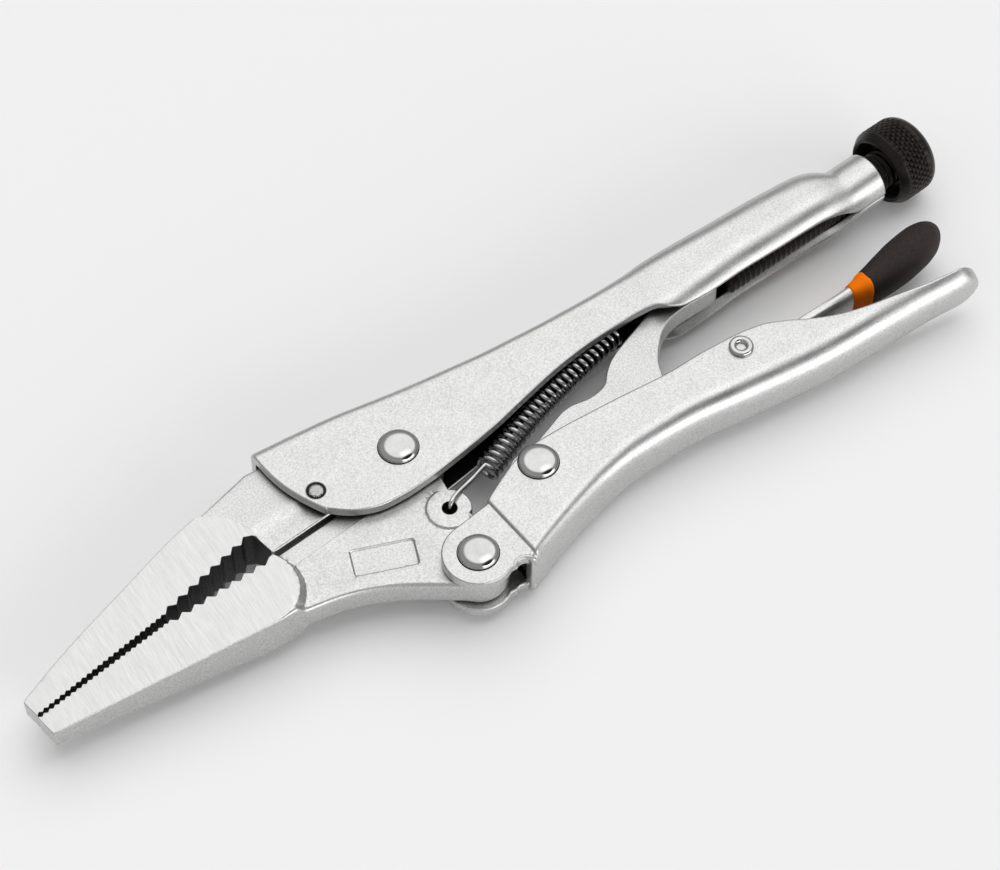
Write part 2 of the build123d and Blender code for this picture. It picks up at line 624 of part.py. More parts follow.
# ---------------------------------------------------------------- finished pieces
pieces = {
    "fixed_handle": fixed_handle,
    "fixed_jaw": fixed_jaw,
    "jaw_fixing_pin": jaw_fixing_pin,
    "main_pivot_rivet": main_pivot_rivet,
    "moving_jaw": moving_jaw,
    "handle_pivot_rivet": handle_pivot_rivet,
    "moving_handle": moving_handle,
    "link_pivot_rivet": link_pivot_rivet,
    "toggle_link": toggle_link,
    "lever_rivet": lever_rivet,
    "release_lever": release_lever,
    "lever_collar": lever_collar,
    "lever_grip": lever_grip,
    "jaw_spring": jaw_spring,
    "adjusting_screw": adjusting_screw,
}
whole = Compound([solid for piece in pieces.values() for solid in piece.part.solids()]).bounding_box()
to_stand = Location((-(whole.min.X + whole.max.X) / 2, -(whole.min.Y + whole.max.Y) / 2, -whole.min.Z))
print("overall", whole.size, "moved by", to_stand.position)

os.makedirs("parts", exist_ok=True)
for name, piece in pieces.items():
    piece.part.move(to_stand)
    piece.part.label = name
    export_step(piece.part, f"parts/{name}.step")
    print(name, len(piece.part.solids()), round(piece.part.volume, 1), piece.part.is_valid)
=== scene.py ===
"""Looks for the locking pliers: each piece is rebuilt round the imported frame.

Shapes are drawn in millimetres from the main pivot, as the CAD is, and turned into metres in
the row frame when their mesh is made.
"""
import json
import math

import bmesh
import bpy
import numpy as np
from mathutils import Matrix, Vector
from mathutils.geometry import delaunay_2d_cdt


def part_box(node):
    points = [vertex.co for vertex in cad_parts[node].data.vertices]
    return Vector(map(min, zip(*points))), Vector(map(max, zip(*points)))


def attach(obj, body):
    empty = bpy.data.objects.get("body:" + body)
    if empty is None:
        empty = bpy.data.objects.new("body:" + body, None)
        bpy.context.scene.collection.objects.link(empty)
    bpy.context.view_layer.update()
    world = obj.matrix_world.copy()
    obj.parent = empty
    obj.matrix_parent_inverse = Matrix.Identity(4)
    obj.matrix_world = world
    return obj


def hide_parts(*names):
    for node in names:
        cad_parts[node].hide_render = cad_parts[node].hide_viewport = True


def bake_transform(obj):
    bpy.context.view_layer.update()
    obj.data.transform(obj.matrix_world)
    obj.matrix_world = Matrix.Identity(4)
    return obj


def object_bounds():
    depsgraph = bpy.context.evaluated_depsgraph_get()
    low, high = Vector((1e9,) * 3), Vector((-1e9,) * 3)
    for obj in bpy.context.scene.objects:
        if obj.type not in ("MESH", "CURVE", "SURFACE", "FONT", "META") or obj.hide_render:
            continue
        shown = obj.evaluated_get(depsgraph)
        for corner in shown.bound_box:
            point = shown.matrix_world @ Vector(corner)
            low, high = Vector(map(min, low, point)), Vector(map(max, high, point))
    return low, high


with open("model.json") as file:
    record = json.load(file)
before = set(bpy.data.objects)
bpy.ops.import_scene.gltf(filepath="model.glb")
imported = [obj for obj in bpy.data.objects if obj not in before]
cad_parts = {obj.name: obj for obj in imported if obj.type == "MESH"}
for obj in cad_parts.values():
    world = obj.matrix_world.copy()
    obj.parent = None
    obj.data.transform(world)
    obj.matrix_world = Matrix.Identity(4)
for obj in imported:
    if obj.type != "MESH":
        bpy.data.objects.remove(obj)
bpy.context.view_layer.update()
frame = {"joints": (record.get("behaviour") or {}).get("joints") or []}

joints = {joint["name"]: joint for joint in frame["joints"]}
MM = 0.001
PIVOT = np.array(joints["jaw_pivot"]["pos_m"])


def place_of(point):
    """A row-frame point as millimetres from the main pivot."""
    return (np.array(point) - PIVOT) / MM


HANDLE_PIVOT = place_of(joints["handle_pivot"]["pos_m"])[:2]
LINK_PIVOT = place_of(joints["link_pivot"]["pos_m"])[:2]
LEVER_PIVOT = place_of(joints["lever_pivot"]["pos_m"])[:2]
LINK_SEAT = place_of(joints["screw_turn"]["pos_m"])[:2]
SCREW_DIR = np.array(joints["screw_turn"]["axis"])[:2]
SCREW_SIDE = np.array([-SCREW_DIR[1], SCREW_DIR[0]])
PIN_PLACE = place_of((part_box("jaw_fixing_pin")[0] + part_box("jaw_fixing_pin")[1]) / 2)[:2]
SPRING_EAR = np.array([2.0, -17.1])
CHEEK = 6.4                 # outer face of the fixed handle's cheeks and of the ears
RAISED_CHEEK = 7.1          # outer face of the moving handle behind its ears
REAR_CHEEK = 7.5
EAR_INNER = 3.9             # inner face of the moving handle's ears
LINK_HALF = 2.75            # half thickness of the toggle link
LEVER_HALF = 3.8            # half width of the release lever
RIVET_HEAD, RIVET_RISE = 4.3, 1.66
SHEET = 2.5
EDGE = 0.5                  # rounding of the sheet's edges


# ---------------------------------------------------------------- small geometry
def arc(centre, radius, start, end, count):
    """Points on an arc, angles in degrees."""
    angles = np.radians(np.linspace(start, end, count))
    return [(centre[0] + radius * math.cos(a), centre[1] + radius * math.sin(a)) for a in angles]


def slopes(t, y):
    """Slopes for a smooth curve through points that doesn't overshoot them."""
    h, d = np.diff(t), np.diff(y)
    d = d / h
    m = np.zeros(len(y))
    m[0], m[-1] = d[0], d[-1]
    for i in range(1, len(y) - 1):
        if d[i - 1] * d[i] > 0:
            a, b = 2 * h[i] + h[i - 1], h[i] + 2 * h[i - 1]
            m[i] = (a + b) / (a / d[i - 1] + b / d[i])
    return m


def smooth_values(t, y, q):
    """Values at q of the smooth curve through (t, y)."""
    m = slopes(t, y)
    i = np.clip(np.searchsorted(t, q, side="right") - 1, 0, len(t) - 2)
    h = t[i + 1] - t[i]
    s = (q - t[i]) / h
    return ((2 * s ** 3 - 3 * s ** 2 + 1) * y[i] + (s ** 3 - 2 * s ** 2 + s) * h * m[i]
            + (3 * s ** 2 - 2 * s ** 3) * y[i + 1] + (s ** 3 - s ** 2) * h * m[i + 1])


def smooth_rows(keys, step, fine_length=0.0, fine_step=0.2):
    """Rows of numbers between key rows, along the first columns' mean path; finer over its first length."""
    keys = np.array(keys, float)
    path = (keys[:, 0:2] + keys[:, 2:4]) / 2
    t = np.concatenate([[0], np.cumsum(np.linalg.norm(np.diff(path, axis=0), axis=1))])
    q = np.arange(0, fine_length, fine_step)
    q = np.concatenate([q, np.linspace(fine_length, t[-1], int((t[-1] - fine_length) / step) + 1)])
    return np.stack([smooth_values(t, keys[:, c], q) for c in range(keys.shape[1])], axis=1)


def curve_through(points, step=0.6):
    """A smooth open curve through points, Catmull-Rom."""
    p = np.array(points, float)
    ends = np.concatenate([[2 * p[0] - p[1]], p, [2 * p[-1] - p[-2]]])
    out = []
    for i in range(1, len(p)):
        a, b, c, d = ends[i - 1], ends[i], ends[i + 1], ends[i + 2]
        for s in np.linspace(0, 1, max(2, int(np.linalg.norm(c - b) / step) + 1), endpoint=False):
            out.append(0.5 * (2 * b + (c - a) * s + (2 * a - 5 * b + 4 * c - d) * s ** 2
                              + (3 * b - 3 * c + d - a) * s ** 3))
    out.append(p[-1])
    return [tuple(q) for q in out]


def resample(points, count, trim=0.0):
    """A polyline as count evenly spaced points, with its far end trimmed."""
    p = np.array(points, float)
    t = np.concatenate([[0], np.cumsum(np.linalg.norm(np.diff(p, axis=0), axis=1))])
    q = np.linspace(0, t[-1] - trim, count)
    return np.stack([np.interp(q, t, p[:, c]) for c in range(p.shape[1])], axis=1)


def divided(points, step):
    """A closed outline with its long edges divided."""
    out = []
    for i, a in enumerate(points):
        b = points[(i + 1) % len(points)]
        n = max(1, int(math.dist(a, b) / step))
        out += [(a[0] + (b[0] - a[0]) * k / n, a[1] + (b[1] - a[1]) * k / n) for k in range(n)]
    return out


def rise(value, low, high):
    """0 below low, 1 above high, smooth between."""
    s = np.clip((value - low) / (high - low), 0, 1)
    return s * s * (3 - 2 * s)


# ---------------------------------------------------------------- objects
def make_object(name, points, faces, body, materials, replaces=(), picks=None, sharp=40):
    """A mesh piece from millimetre points, riding on a body."""
    mesh = bpy.data.meshes.new(name)
    mesh.from_pydata([tuple(PIVOT + np.array(p) * MM) for p in points], [], [tuple(f) for f in faces])
    for material in materials:
        mesh.materials.append(material)
    if picks is not None:
        mesh.polygons.foreach_set("material_index", np.array(picks, dtype=np.int32))
    bm = bmesh.new()
    bm.from_mesh(mesh)
    bmesh.ops.remove_doubles(bm, verts=bm.verts, dist=2e-6)
    bmesh.ops.dissolve_degenerate(bm, edges=bm.edges, dist=1e-7)
    bmesh.ops.recalc_face_normals(bm, faces=bm.faces)
    bm.to_mesh(mesh)
    bm.free()
    mesh.polygons.foreach_set("use_smooth", [True] * len(mesh.polygons))
    mesh.set_sharp_from_angle(angle=math.radians(sharp))
    piece = bpy.data.objects.new(name, mesh)
    bpy.context.scene.collection.objects.link(piece)
    weigh = piece.modifiers.new("weigh", "WEIGHTED_NORMAL")
    weigh.keep_sharp = True
    if body:
        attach(piece, body)
    if replaces:
        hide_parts(*replaces)
    return piece


class Mesh:
    """Points, faces and material picks gathered from several shells."""

    def __init__(self):
        self.points, self.faces, self.picks = [], [], []

    def add(self, points, faces, pick=0):
        start = len(self.points)
        self.points += [tuple(p) for p in points]
        self.faces += [tuple(start + i for i in f) for f in faces]
        self.picks += list(pick) if isinstance(pick, (list, np.ndarray)) else [pick] * len(faces)
        return self

    def build(self, name, body, slot, materials, replaces=(), sharp=40):
        return make_object(name, self.points, self.faces, body, materials, replaces,
                           self.picks, sharp)


def lathe(profile, place, segments=72):
    """A turned shape about Z at a place, from (radius, z) points; its first and last lie on the axis
    or the profile is closed."""
    points, faces = [], []
    n = len(profile)
    for k in range(segments):
        a = 2 * math.pi * k / segments
        points += [(place[0] + r * math.cos(a), place[1] + r * math.sin(a), z) for r, z in profile]
    closed = profile[0] != profile[-1] and profile[0][0] > 0
    for k in range(segments):
        m = (k + 1) % segments
        for j in range(n if closed else n - 1):
            i = (j + 1) % n
            faces.append((k * n + j, m * n + j, m * n + i, k * n + i))
    return points, faces


def ring_faces(rings, sides):
    """The quads between neighbouring rings of as many points each."""
    faces = []
    for start in range(0, (rings - 1) * sides, sides):
        for k in range(sides):
            m = (k + 1) % sides
            faces.append((start + k, start + m, start + sides + m, start + sides + k))
    return faces


def tube(path, radius, sides=12):
    """A round wire along a path of 3-D points, with flat ends."""
    path = np.array(path, float)
    tangents = np.gradient(path, axis=0)
    tangents /= np.linalg.norm(tangents, axis=1)[:, None]
    side = np.cross(tangents[0], [0.3, 0.5, 0.81])
    side /= np.linalg.norm(side)
    points = []
    for p, t in zip(path, tangents):
        side = side - t * np.dot(side, t)
        side /= np.linalg.norm(side)
        up = np.cross(t, side)
        for k in range(sides):
            a = 2 * math.pi * k / sides
            points.append(p + radius * (math.cos(a) * side + math.sin(a) * up))
    ends = [tuple(range(sides)), tuple(range((len(path) - 1) * sides, len(path) * sides))]
    return points, ring_faces(len(path), sides) + ends


# ---------------------------------------------------------------- plates with relief
def inset(loop, distance):
    """A closed outline moved inwards by a distance, or by one distance for each point."""
    p = np.array(loop, float)
    before, after = p - np.roll(p, 1, axis=0), np.roll(p, -1, axis=0) - p
    before /= np.linalg.norm(before, axis=1)[:, None] + 1e-12
    after /= np.linalg.norm(after, axis=1)[:, None] + 1e-12
    normal = np.stack([-(before + after)[:, 1], (before + after)[:, 0]], axis=1)
    length = np.linalg.norm(normal, axis=1)[:, None] + 1e-12
    normal /= length
    miter = np.clip(2 / length[:, 0], 1, 1.6)
    return p + normal * (np.broadcast_to(distance, len(p)) * miter)[:, None]


def inside(points, loop):
    """Which points lie inside a closed outline."""
    x, y = np.array(points, float).T
    p = np.array(loop, float)
    hit = np.zeros(len(x), bool)
    for (ax, ay), (bx, by) in zip(p, np.roll(p, -1, axis=0)):
        if ay != by:
            crosses = (ay > y) != (by > y)
            hit ^= crosses & (x < (bx - ax) * (y - ay) / (by - ay) + ax)
    return hit


def plate(outline, top, bottom, rim=0.35, holes=(), lines=(), grid=0.0, rim_pick=None, hole_pick=0,
          steps=1):
    """A plate between two relief surfaces top(x, y) and bottom(x, y), with rounded rims.

    The outline runs anticlockwise and the holes run clockwise. Lines are extra curves that the
    triangles follow. Returns points, faces and material picks.
    """
    loops = [np.array(outline, float)] + [np.array(hole, float) for hole in holes]
    rims = [np.broadcast_to(rim(loops[0]) if callable(rim) else rim, len(loops[0]))]
    rims += [np.full(len(hole), 0.2) for hole in loops[1:]]
    flats = [inset(loop, r) for loop, r in zip(loops, rims)]
    verts, edges, at, marks = [], [], [], []
    for flat in flats:
        at.append(len(verts))
        n = len(flat)
        verts += [tuple(v) for v in flat]
        edges += [(at[-1] + i, at[-1] + (i + 1) % n) for i in range(n)]
    for line in lines:
        line = [tuple(q) for q, ok in zip(line, inside(line, flats[0])) if ok]
        start = len(verts)
        verts += line
        marks += line
        edges += [(start + i, start + i + 1) for i in range(len(line) - 1)]
    if grid:
        low, high = flats[0].min(0), flats[0].max(0)
        xs, ys = np.meshgrid(np.arange(low[0], high[0], grid), np.arange(low[1], high[1], grid * 0.9))
        xs[::2] += grid / 2
        cloud = np.stack([xs.ravel(), ys.ravel()], axis=1)
        cloud = cloud[inside(cloud, inset(loops[0], rims[0] + 0.4 * grid))]
        if marks:
            gaps = np.linalg.norm(cloud[:, None, :] - np.array(marks)[None, :, :], axis=2).min(1)
            cloud = cloud[gaps > 0.45 * grid]
        verts += [tuple(v) for v in cloud]
    flat_verts, _, flat_faces, origin, _, _ = delaunay_2d_cdt([Vector(v) for v in verts], edges, [],
                                                              0, 1e-5)
    flat_verts = np.array([tuple(v) for v in flat_verts])
    new_index = {}
    for new, olds in enumerate(origin):
        for old in olds:
            new_index[old] = new
    middles = np.array([flat_verts[list(f)].mean(0) for f in flat_faces])
    keep = inside(middles, flats[0])
    for flat in flats[1:]:
        keep &= ~inside(middles, flat)
    kept = [f for f, ok in zip(flat_faces, keep) if ok]
    n = len(flat_verts)
    x, y = flat_verts.T
    points = [tuple(p) for p in np.stack([x, y, top(x, y)], axis=1)]
    points += [tuple(p) for p in np.stack([x, y, bottom(x, y)], axis=1)]
    faces = [tuple(f) for f in kept] + [tuple(n + i for i in reversed(f)) for f in kept]
    picks = [0] * len(faces)
    turns = np.radians([30, 60, 90])
    for number, (loop, flat, r) in enumerate(zip(loops, flats, rims)):
        count = len(loop)
        z_top, z_bottom = top(*flat.T), bottom(*flat.T)
        rows = [[new_index[at[number] + i] for i in range(count)]]
        levels = [(1 - math.sin(a), 1 - math.cos(a), 1) for a in turns]
        walls = [(0, k / steps, 0) for k in range(1, steps)]
        levels += walls + [(1 - math.sin(a), 1 - math.cos(a), -1) for a in turns[::-1]]
        for share, drop, side in levels:
            place = inset(loop, r * share)
            if side == 1:
                z = z_top - r * drop
            elif side == -1:
                z = z_bottom + r * drop
            else:
                z = (z_top - r) * (1 - drop) + (z_bottom + r) * drop
            rows.append(list(range(len(points), len(points) + count)))
            points += [(a, b, c) for (a, b), c in zip(place, z)]
        rows.append([n + new_index[at[number] + i] for i in range(count)])
        choice = [0] * count
        if number and hole_pick:
            choice = [hole_pick] * count
        elif rim_pick is not None and not number:
            choice = list(rim_pick(loop))
        for upper, lower in zip(rows, rows[1:]):
            for i in range(count):
                m = (i + 1) % count
                faces.append((upper[i], lower[i], lower[m], upper[m]))
                picks.append(choice[i])
    return points, faces, picks


def level(height):
    """A flat relief surface."""
    return lambda x, y: np.full(np.shape(x), float(height))


# ---------------------------------------------------------------- pressed channels
HALF = 46                   # points along each face of half a section
LIP = [0.0, 0.34, 0.67, 1.0]


def half_curve(width, height, radius, start, curl_radius, curl):
    """One face of half a channel section, from the middle of the spine to the lip, as (z, v)."""
    if height >= radius:
        last = 90.0
    else:
        last = math.degrees(math.acos(1 - height / radius))
    points = [(0.0, height)] + arc((width - radius, height - radius), radius, 90, 90 - last, 14)
    if height >= radius:
        if curl > 1:
            points += arc((width - curl_radius, start), curl_radius, 0, -curl, 14)
        else:
            points.append((width, 0.0))
    return points


def section(width, height, radius, curl, curl_radius, thickness):
    """A closed channel section as (z, v) points with the depth through the sheet, 0 outside to 1 inside."""
    start = curl_radius * math.sin(math.radians(curl))
    outer = half_curve(width, height, radius, start, curl_radius, curl)
    inner = half_curve(width - thickness, height - thickness, max(radius - thickness, 0.35), start,
                       curl_radius - thickness, curl)
    edge = min(EDGE, 0.3 * thickness)
    face_out, face_in = resample(outer, HALF, edge), resample(inner, HALF, edge)
    a, b = np.array(outer[-1]), np.array(inner[-1])
    across = (b - a) / np.linalg.norm(b - a)
    lip = [(1 - s) ** 2 * face_out[-1] + 2 * s * (1 - s) * a + s * s * (a + edge * across) for s in LIP[1:]]
    lip += [(1 - s) ** 2 * (b - edge * across) + 2 * s * (1 - s) * b + s * s * face_in[-1] for s in LIP[:-1]]
    half = np.concatenate([face_out, lip, face_in[::-1]])
    depth = np.concatenate([np.zeros(HALF), np.linspace(0.15, 0.85, len(lip)), np.ones(HALF)])
    mirrored = (half * [-1, 1])[::-1][1:-1]
    return np.concatenate([half, mirrored]), np.concatenate([depth, depth[::-1][1:-1]])


def loop_inset(loop, distance):
    """A section loop shrunk into the sheet."""
    shift = np.roll(loop, -1, axis=0) - np.roll(loop, 1, axis=0)
    normal = np.stack([shift[:, 1], -shift[:, 0]], axis=1)
    normal /= np.linalg.norm(normal, axis=1)[:, None] + 1e-12
    x, y = loop.T
    area = np.sum(x * np.roll(y, -1) - y * np.roll(x, -1))
    return loop - normal * distance * (1 if area > 0 else -1)


def channel_row(row, loop, shift=0.0):
    """A section loop placed on its line from lip to spine, moved along the channel by shift."""
    spine, lip, bow = row[0:2], row[2:4], row[9]
    height = np.linalg.norm(spine - lip)
    up = (spine - lip) / height
    along = np.array([up[1], -up[0]])
    if along[0] < 0:
        along = -along
    share = np.clip(loop[:, 1] / height, 0, 1)
    swell = np.sin(math.pi * share) * bow
    tilt = math.pi * np.cos(math.pi * share) * bow / height
    ahead = along[None, :] + up[None, :] * tilt[:, None] if bow else np.repeat(along[None, :], len(loop), 0)
    ahead = ahead / np.linalg.norm(ahead, axis=1)[:, None]
    flat = lip + up * loop[:, 1:2] - along * swell[:, None] + ahead * shift
    return np.concatenate([flat, loop[:, 0:1]], axis=1)


def channel_mesh(mesh, rows, capped=(True, True), closing=None):
    """The swept channel.

    Each row: spine x, y, lip x, y, half width, corner, curl, curl radius, sheet, bow. The inner
    face takes the second material, the near-black steel that paints shade into the channel.
    """
    rings, depth = [], None
    for i, row in enumerate(rows):
        height = np.linalg.norm(row[0:2] - row[2:4])
        loop, depth = section(row[4], height, row[5], row[6], row[7], row[8])
        if i == 0 and capped[0]:
            for a in np.radians([90, 60, 30]):
                eased = loop_inset(loop, EDGE * (1 - math.cos(a)))
                rings.append(channel_row(row, eased, -EDGE * math.sin(a)))
        rings.append(channel_row(row, loop))
        if i == len(rows) - 1 and capped[1]:
            for a in np.radians([30, 60, 90]):
                eased = loop_inset(loop, EDGE * (1 - math.cos(a)))
                rings.append(channel_row(row, eased, EDGE * math.sin(a)))
    if closing:
        reach, shallow = closing
        row = rows[-1]
        for a in np.radians(np.linspace(0, 90, 15)[1:]):
            c, s = math.cos(a), math.sin(a)
            squeeze = loop * [max(c, 1e-6), shallow + (1 - shallow) * c ** 0.8]
            ring = channel_row(row, squeeze)
            ring[:, 0] += (reach - depth * row[8] * 0.9) * s
            ring[:, 1] -= (1 - c) * 0.15
            rings.append(ring)
    size = len(rings[0])
    points = np.concatenate(rings)
    faces = ring_faces(len(rings), size)
    # inner faces take the second material: painted shade inside the channel
    shaded_inner = [int(depth[k] > 0.95 and depth[(k + 1) % size] > 0.95) for k in range(size)]
    picks = shaded_inner * (len(rings) - 1)
    half = size // 2 + 1
    for base, wanted in ((0, capped[0]), ((len(rings) - 1) * size, capped[1])):
        if wanted:
            for j in range(half // 2 - 1):
                quad = [j, j + 1, half - 2 - j, half - 1 - j]
                faces.append(tuple(base + q for q in quad))
                faces.append(tuple(base + (size - q) % size for q in quad))
                picks += [0, 0]
    mesh.add(points, faces, picks)


# ---------------------------------------------------------------- materials
def new_material(name):
    material = bpy.data.materials.new(name)
    material.use_nodes = True
    return material, material.node_tree, material.node_tree.nodes["Principled BSDF"]


def object_place(tree, scale=(1, 1, 1), turn=0.0):
    """Texture place in the object's own metres, scaled and turned about Z."""
    coordinates = tree.nodes.new("ShaderNodeTexCoord")
    mapping = tree.nodes.new("ShaderNodeMapping")
    mapping.inputs["Scale"].default_value = scale
    mapping.inputs["Rotation"].default_value = (0, 0, turn)
    tree.links.new(coordinates.outputs["Object"], mapping.inputs["Vector"])
    return mapping.outputs["Vector"]


def noise(tree, vector, scale, detail=4, rough=0.6):
    node = tree.nodes.new("ShaderNodeTexNoise")
    node.inputs["Scale"].default_value = scale
    node.inputs["Detail"].default_value = detail
    node.inputs["Roughness"].default_value = rough
    tree.links.new(vector, node.inputs["Vector"])
    return node.outputs["Fac"]


def ranged(tree, value, low, high, to_low, to_high):
    node = tree.nodes.new("ShaderNodeMapRange")
    for key, number in zip(("From Min", "From Max", "To Min", "To Max"), (low, high, to_low, to_high)):
        node.inputs[key].default_value = number
    tree.links.new(value, node.inputs["Value"])
    return node.outputs["Result"]


def tinted(tree, value, low, high, dark, light):
    """A colour between dark and light as a value goes from low to high."""
    ramp = tree.nodes.new("ShaderNodeValToRGB")
    ramp.color_ramp.elements[0].position, ramp.color_ramp.elements[1].position = low, high
    ramp.color_ramp.elements[0].color, ramp.color_ramp.elements[1].color = (*dark, 1), (*light, 1)
    tree.links.new(value, ramp.inputs["Fac"])
    return ramp.outputs["Color"]


def bumped(tree, shader, heights):
    """Bumps, each (height, distance in metres, strength), one on the other."""
    normal = None
    for height, distance, strength in heights:
        bump = tree.nodes.new("ShaderNodeBump")
        bump.inputs["Distance"].default_value = distance
        bump.inputs["Strength"].default_value = strength
        tree.links.new(height, bump.inputs["Height"])
        if normal is not None:
            tree.links.new(normal, bump.inputs["Normal"])
        normal = bump.outputs["Normal"]
    tree.links.new(normal, shader.inputs["Normal"])


def blasted_metal(name, dark, light, rough, grain=2900, depth=0.00006, metallic=1.0):
    """Fine-blasted and plated steel: even grain, faint cloudiness."""
    material, tree, shader = new_material(name)
    place = object_place(tree)
    fine = noise(tree, place, grain, 3, 0.7)
    cloud = noise(tree, place, 140, 3, 0.5)
    tree.links.new(tinted(tree, fine, 0.28, 0.62, dark, light), shader.inputs["Base Color"])
    tree.links.new(ranged(tree, cloud, 0.3, 0.7, rough - 0.04, rough + 0.05), shader.inputs["Roughness"])
    shader.inputs["Metallic"].default_value = metallic
    bumped(tree, shader, [(fine, depth, 0.5), (cloud, 0.00005, 0.15)])
    return material


def ground_metal(name):
    """Surface-ground steel: fine straight lines across the nose."""
    material, tree, shader = new_material(name)
    lines = object_place(tree, (9000, 260, 260), math.radians(-34))
    wide = object_place(tree, (1500, 60, 60), math.radians(-34))
    fine, broad = noise(tree, lines, 1.0, 4, 0.7), noise(tree, wide, 1.0, 3, 0.6)
    tree.links.new(tinted(tree, fine, 0.25, 0.7, (0.47, 0.47, 0.465), (0.66, 0.66, 0.655)),
                   shader.inputs["Base Color"])
    tree.links.new(ranged(tree, broad, 0.3, 0.7, 0.28, 0.40), shader.inputs["Roughness"])
    shader.inputs["Metallic"].default_value = 1.0
    bumped(tree, shader, [(fine, 0.000006, 0.5), (broad, 0.00001, 0.3)])
    return material


def plain_metal(name, color, rough, grain=1800, depth=0.000004, metallic=1.0, spread=0.15):
    """Turned or polished metal with slight tarnish and fine marks."""
    material, tree, shader = new_material(name)
    place = object_place(tree)
    fine, cloud = noise(tree, place, grain, 4, 0.6), noise(tree, place, 320, 3, 0.5)
    dark = tuple(c * (1 - spread) for c in color)
    tree.links.new(tinted(tree, cloud, 0.3, 0.7, dark, color), shader.inputs["Base Color"])
    tree.links.new(ranged(tree, fine, 0.3, 0.7, rough * 0.8, rough * 1.25), shader.inputs["Roughness"])
    shader.inputs["Metallic"].default_value = metallic
    bumped(tree, shader, [(fine, depth, 0.4)])
    return material


def dipped_rubber(name, dark, light, rough, grain, depth, shine):
    """A soft dipped coating with fine grain."""
    material, tree, shader = new_material(name)
    place = object_place(tree)
    fine, cloud = noise(tree, place, grain, 5, 0.65), noise(tree, place, 260, 3, 0.5)
    tree.links.new(tinted(tree, fine, 0.3, 0.7, dark, light), shader.inputs["Base Color"])
    tree.links.new(ranged(tree, cloud, 0.3, 0.7, rough - 0.06, rough + 0.06), shader.inputs["Roughness"])
    shader.inputs["Specular IOR Level"].default_value = shine
    bumped(tree, shader, [(fine, depth, 0.5), (cloud, 0.00004, 0.2)])
    return material


handle_steel = blasted_metal("handle_nickel", (0.41, 0.41, 0.405), (0.64, 0.64, 0.635), 0.33)
jaw_steel = blasted_metal("jaw_nickel", (0.40, 0.40, 0.395), (0.63, 0.63, 0.625), 0.35, grain=2500)
nose_steel = ground_metal("nose_ground")
# painted light: the lever's nickel is lighter than the handles' so that the lever and its neck read brighter
lever_steel = blasted_metal("lit_lever_nickel", (0.60, 0.60, 0.595), (0.80, 0.80, 0.79), 0.5)
# painted shade: near-black steel standing in for the shade inside the handles' channels, under the spine,
# round the rivet heads and round the jaw pin
painted_shade_steel = blasted_metal("painted_shade", (0.015, 0.015, 0.015), (0.03, 0.03, 0.03), 0.55)
tooth_dark = blasted_metal("tooth_dark", (0.06, 0.06, 0.062), (0.13, 0.13, 0.132), 0.4)
rivet_steel = plain_metal("rivet_polish", (0.54, 0.54, 0.535), 0.08)
pin_steel = plain_metal("pin_peened", (0.42, 0.42, 0.41), 0.3, grain=2600, depth=0.00003)
spring_black = plain_metal("spring_black", (0.46, 0.46, 0.465), 0.11)
hook_steel = plain_metal("hook_bright", (0.6, 0.6, 0.595), 0.16)
oxide_black = blasted_metal("black_oxide", (0.010, 0.008, 0.007), (0.026, 0.022, 0.019), 0.34,
                            grain=2600, metallic=0.8)
grip_rubber = dipped_rubber("grip_dip", (0.014, 0.009, 0.008), (0.032, 0.022, 0.019), 0.7, 2000, 0.00009, 0.3)
collar_orange = dipped_rubber("collar_dip", (1.0, 0.19, 0.0), (1.0, 0.22, 0.0), 0.7, 1500, 0.00002, 0.1)

# ---------------------------------------------------------------- fixed handle
BARREL_START, BARREL_END, BARREL = 41.3, 50.1, 6.2


def on_screw(distance, side):
    """A point beside the screw: distance behind the link seat, side towards the spine."""
    return LINK_SEAT + SCREW_DIR * distance + SCREW_SIDE * side


def barrel_row(distance, curl, width, thickness):
    return [*on_screw(distance, BARREL), *on_screw(distance, -BARREL), width, BARREL, curl, BARREL,
            thickness, 0]


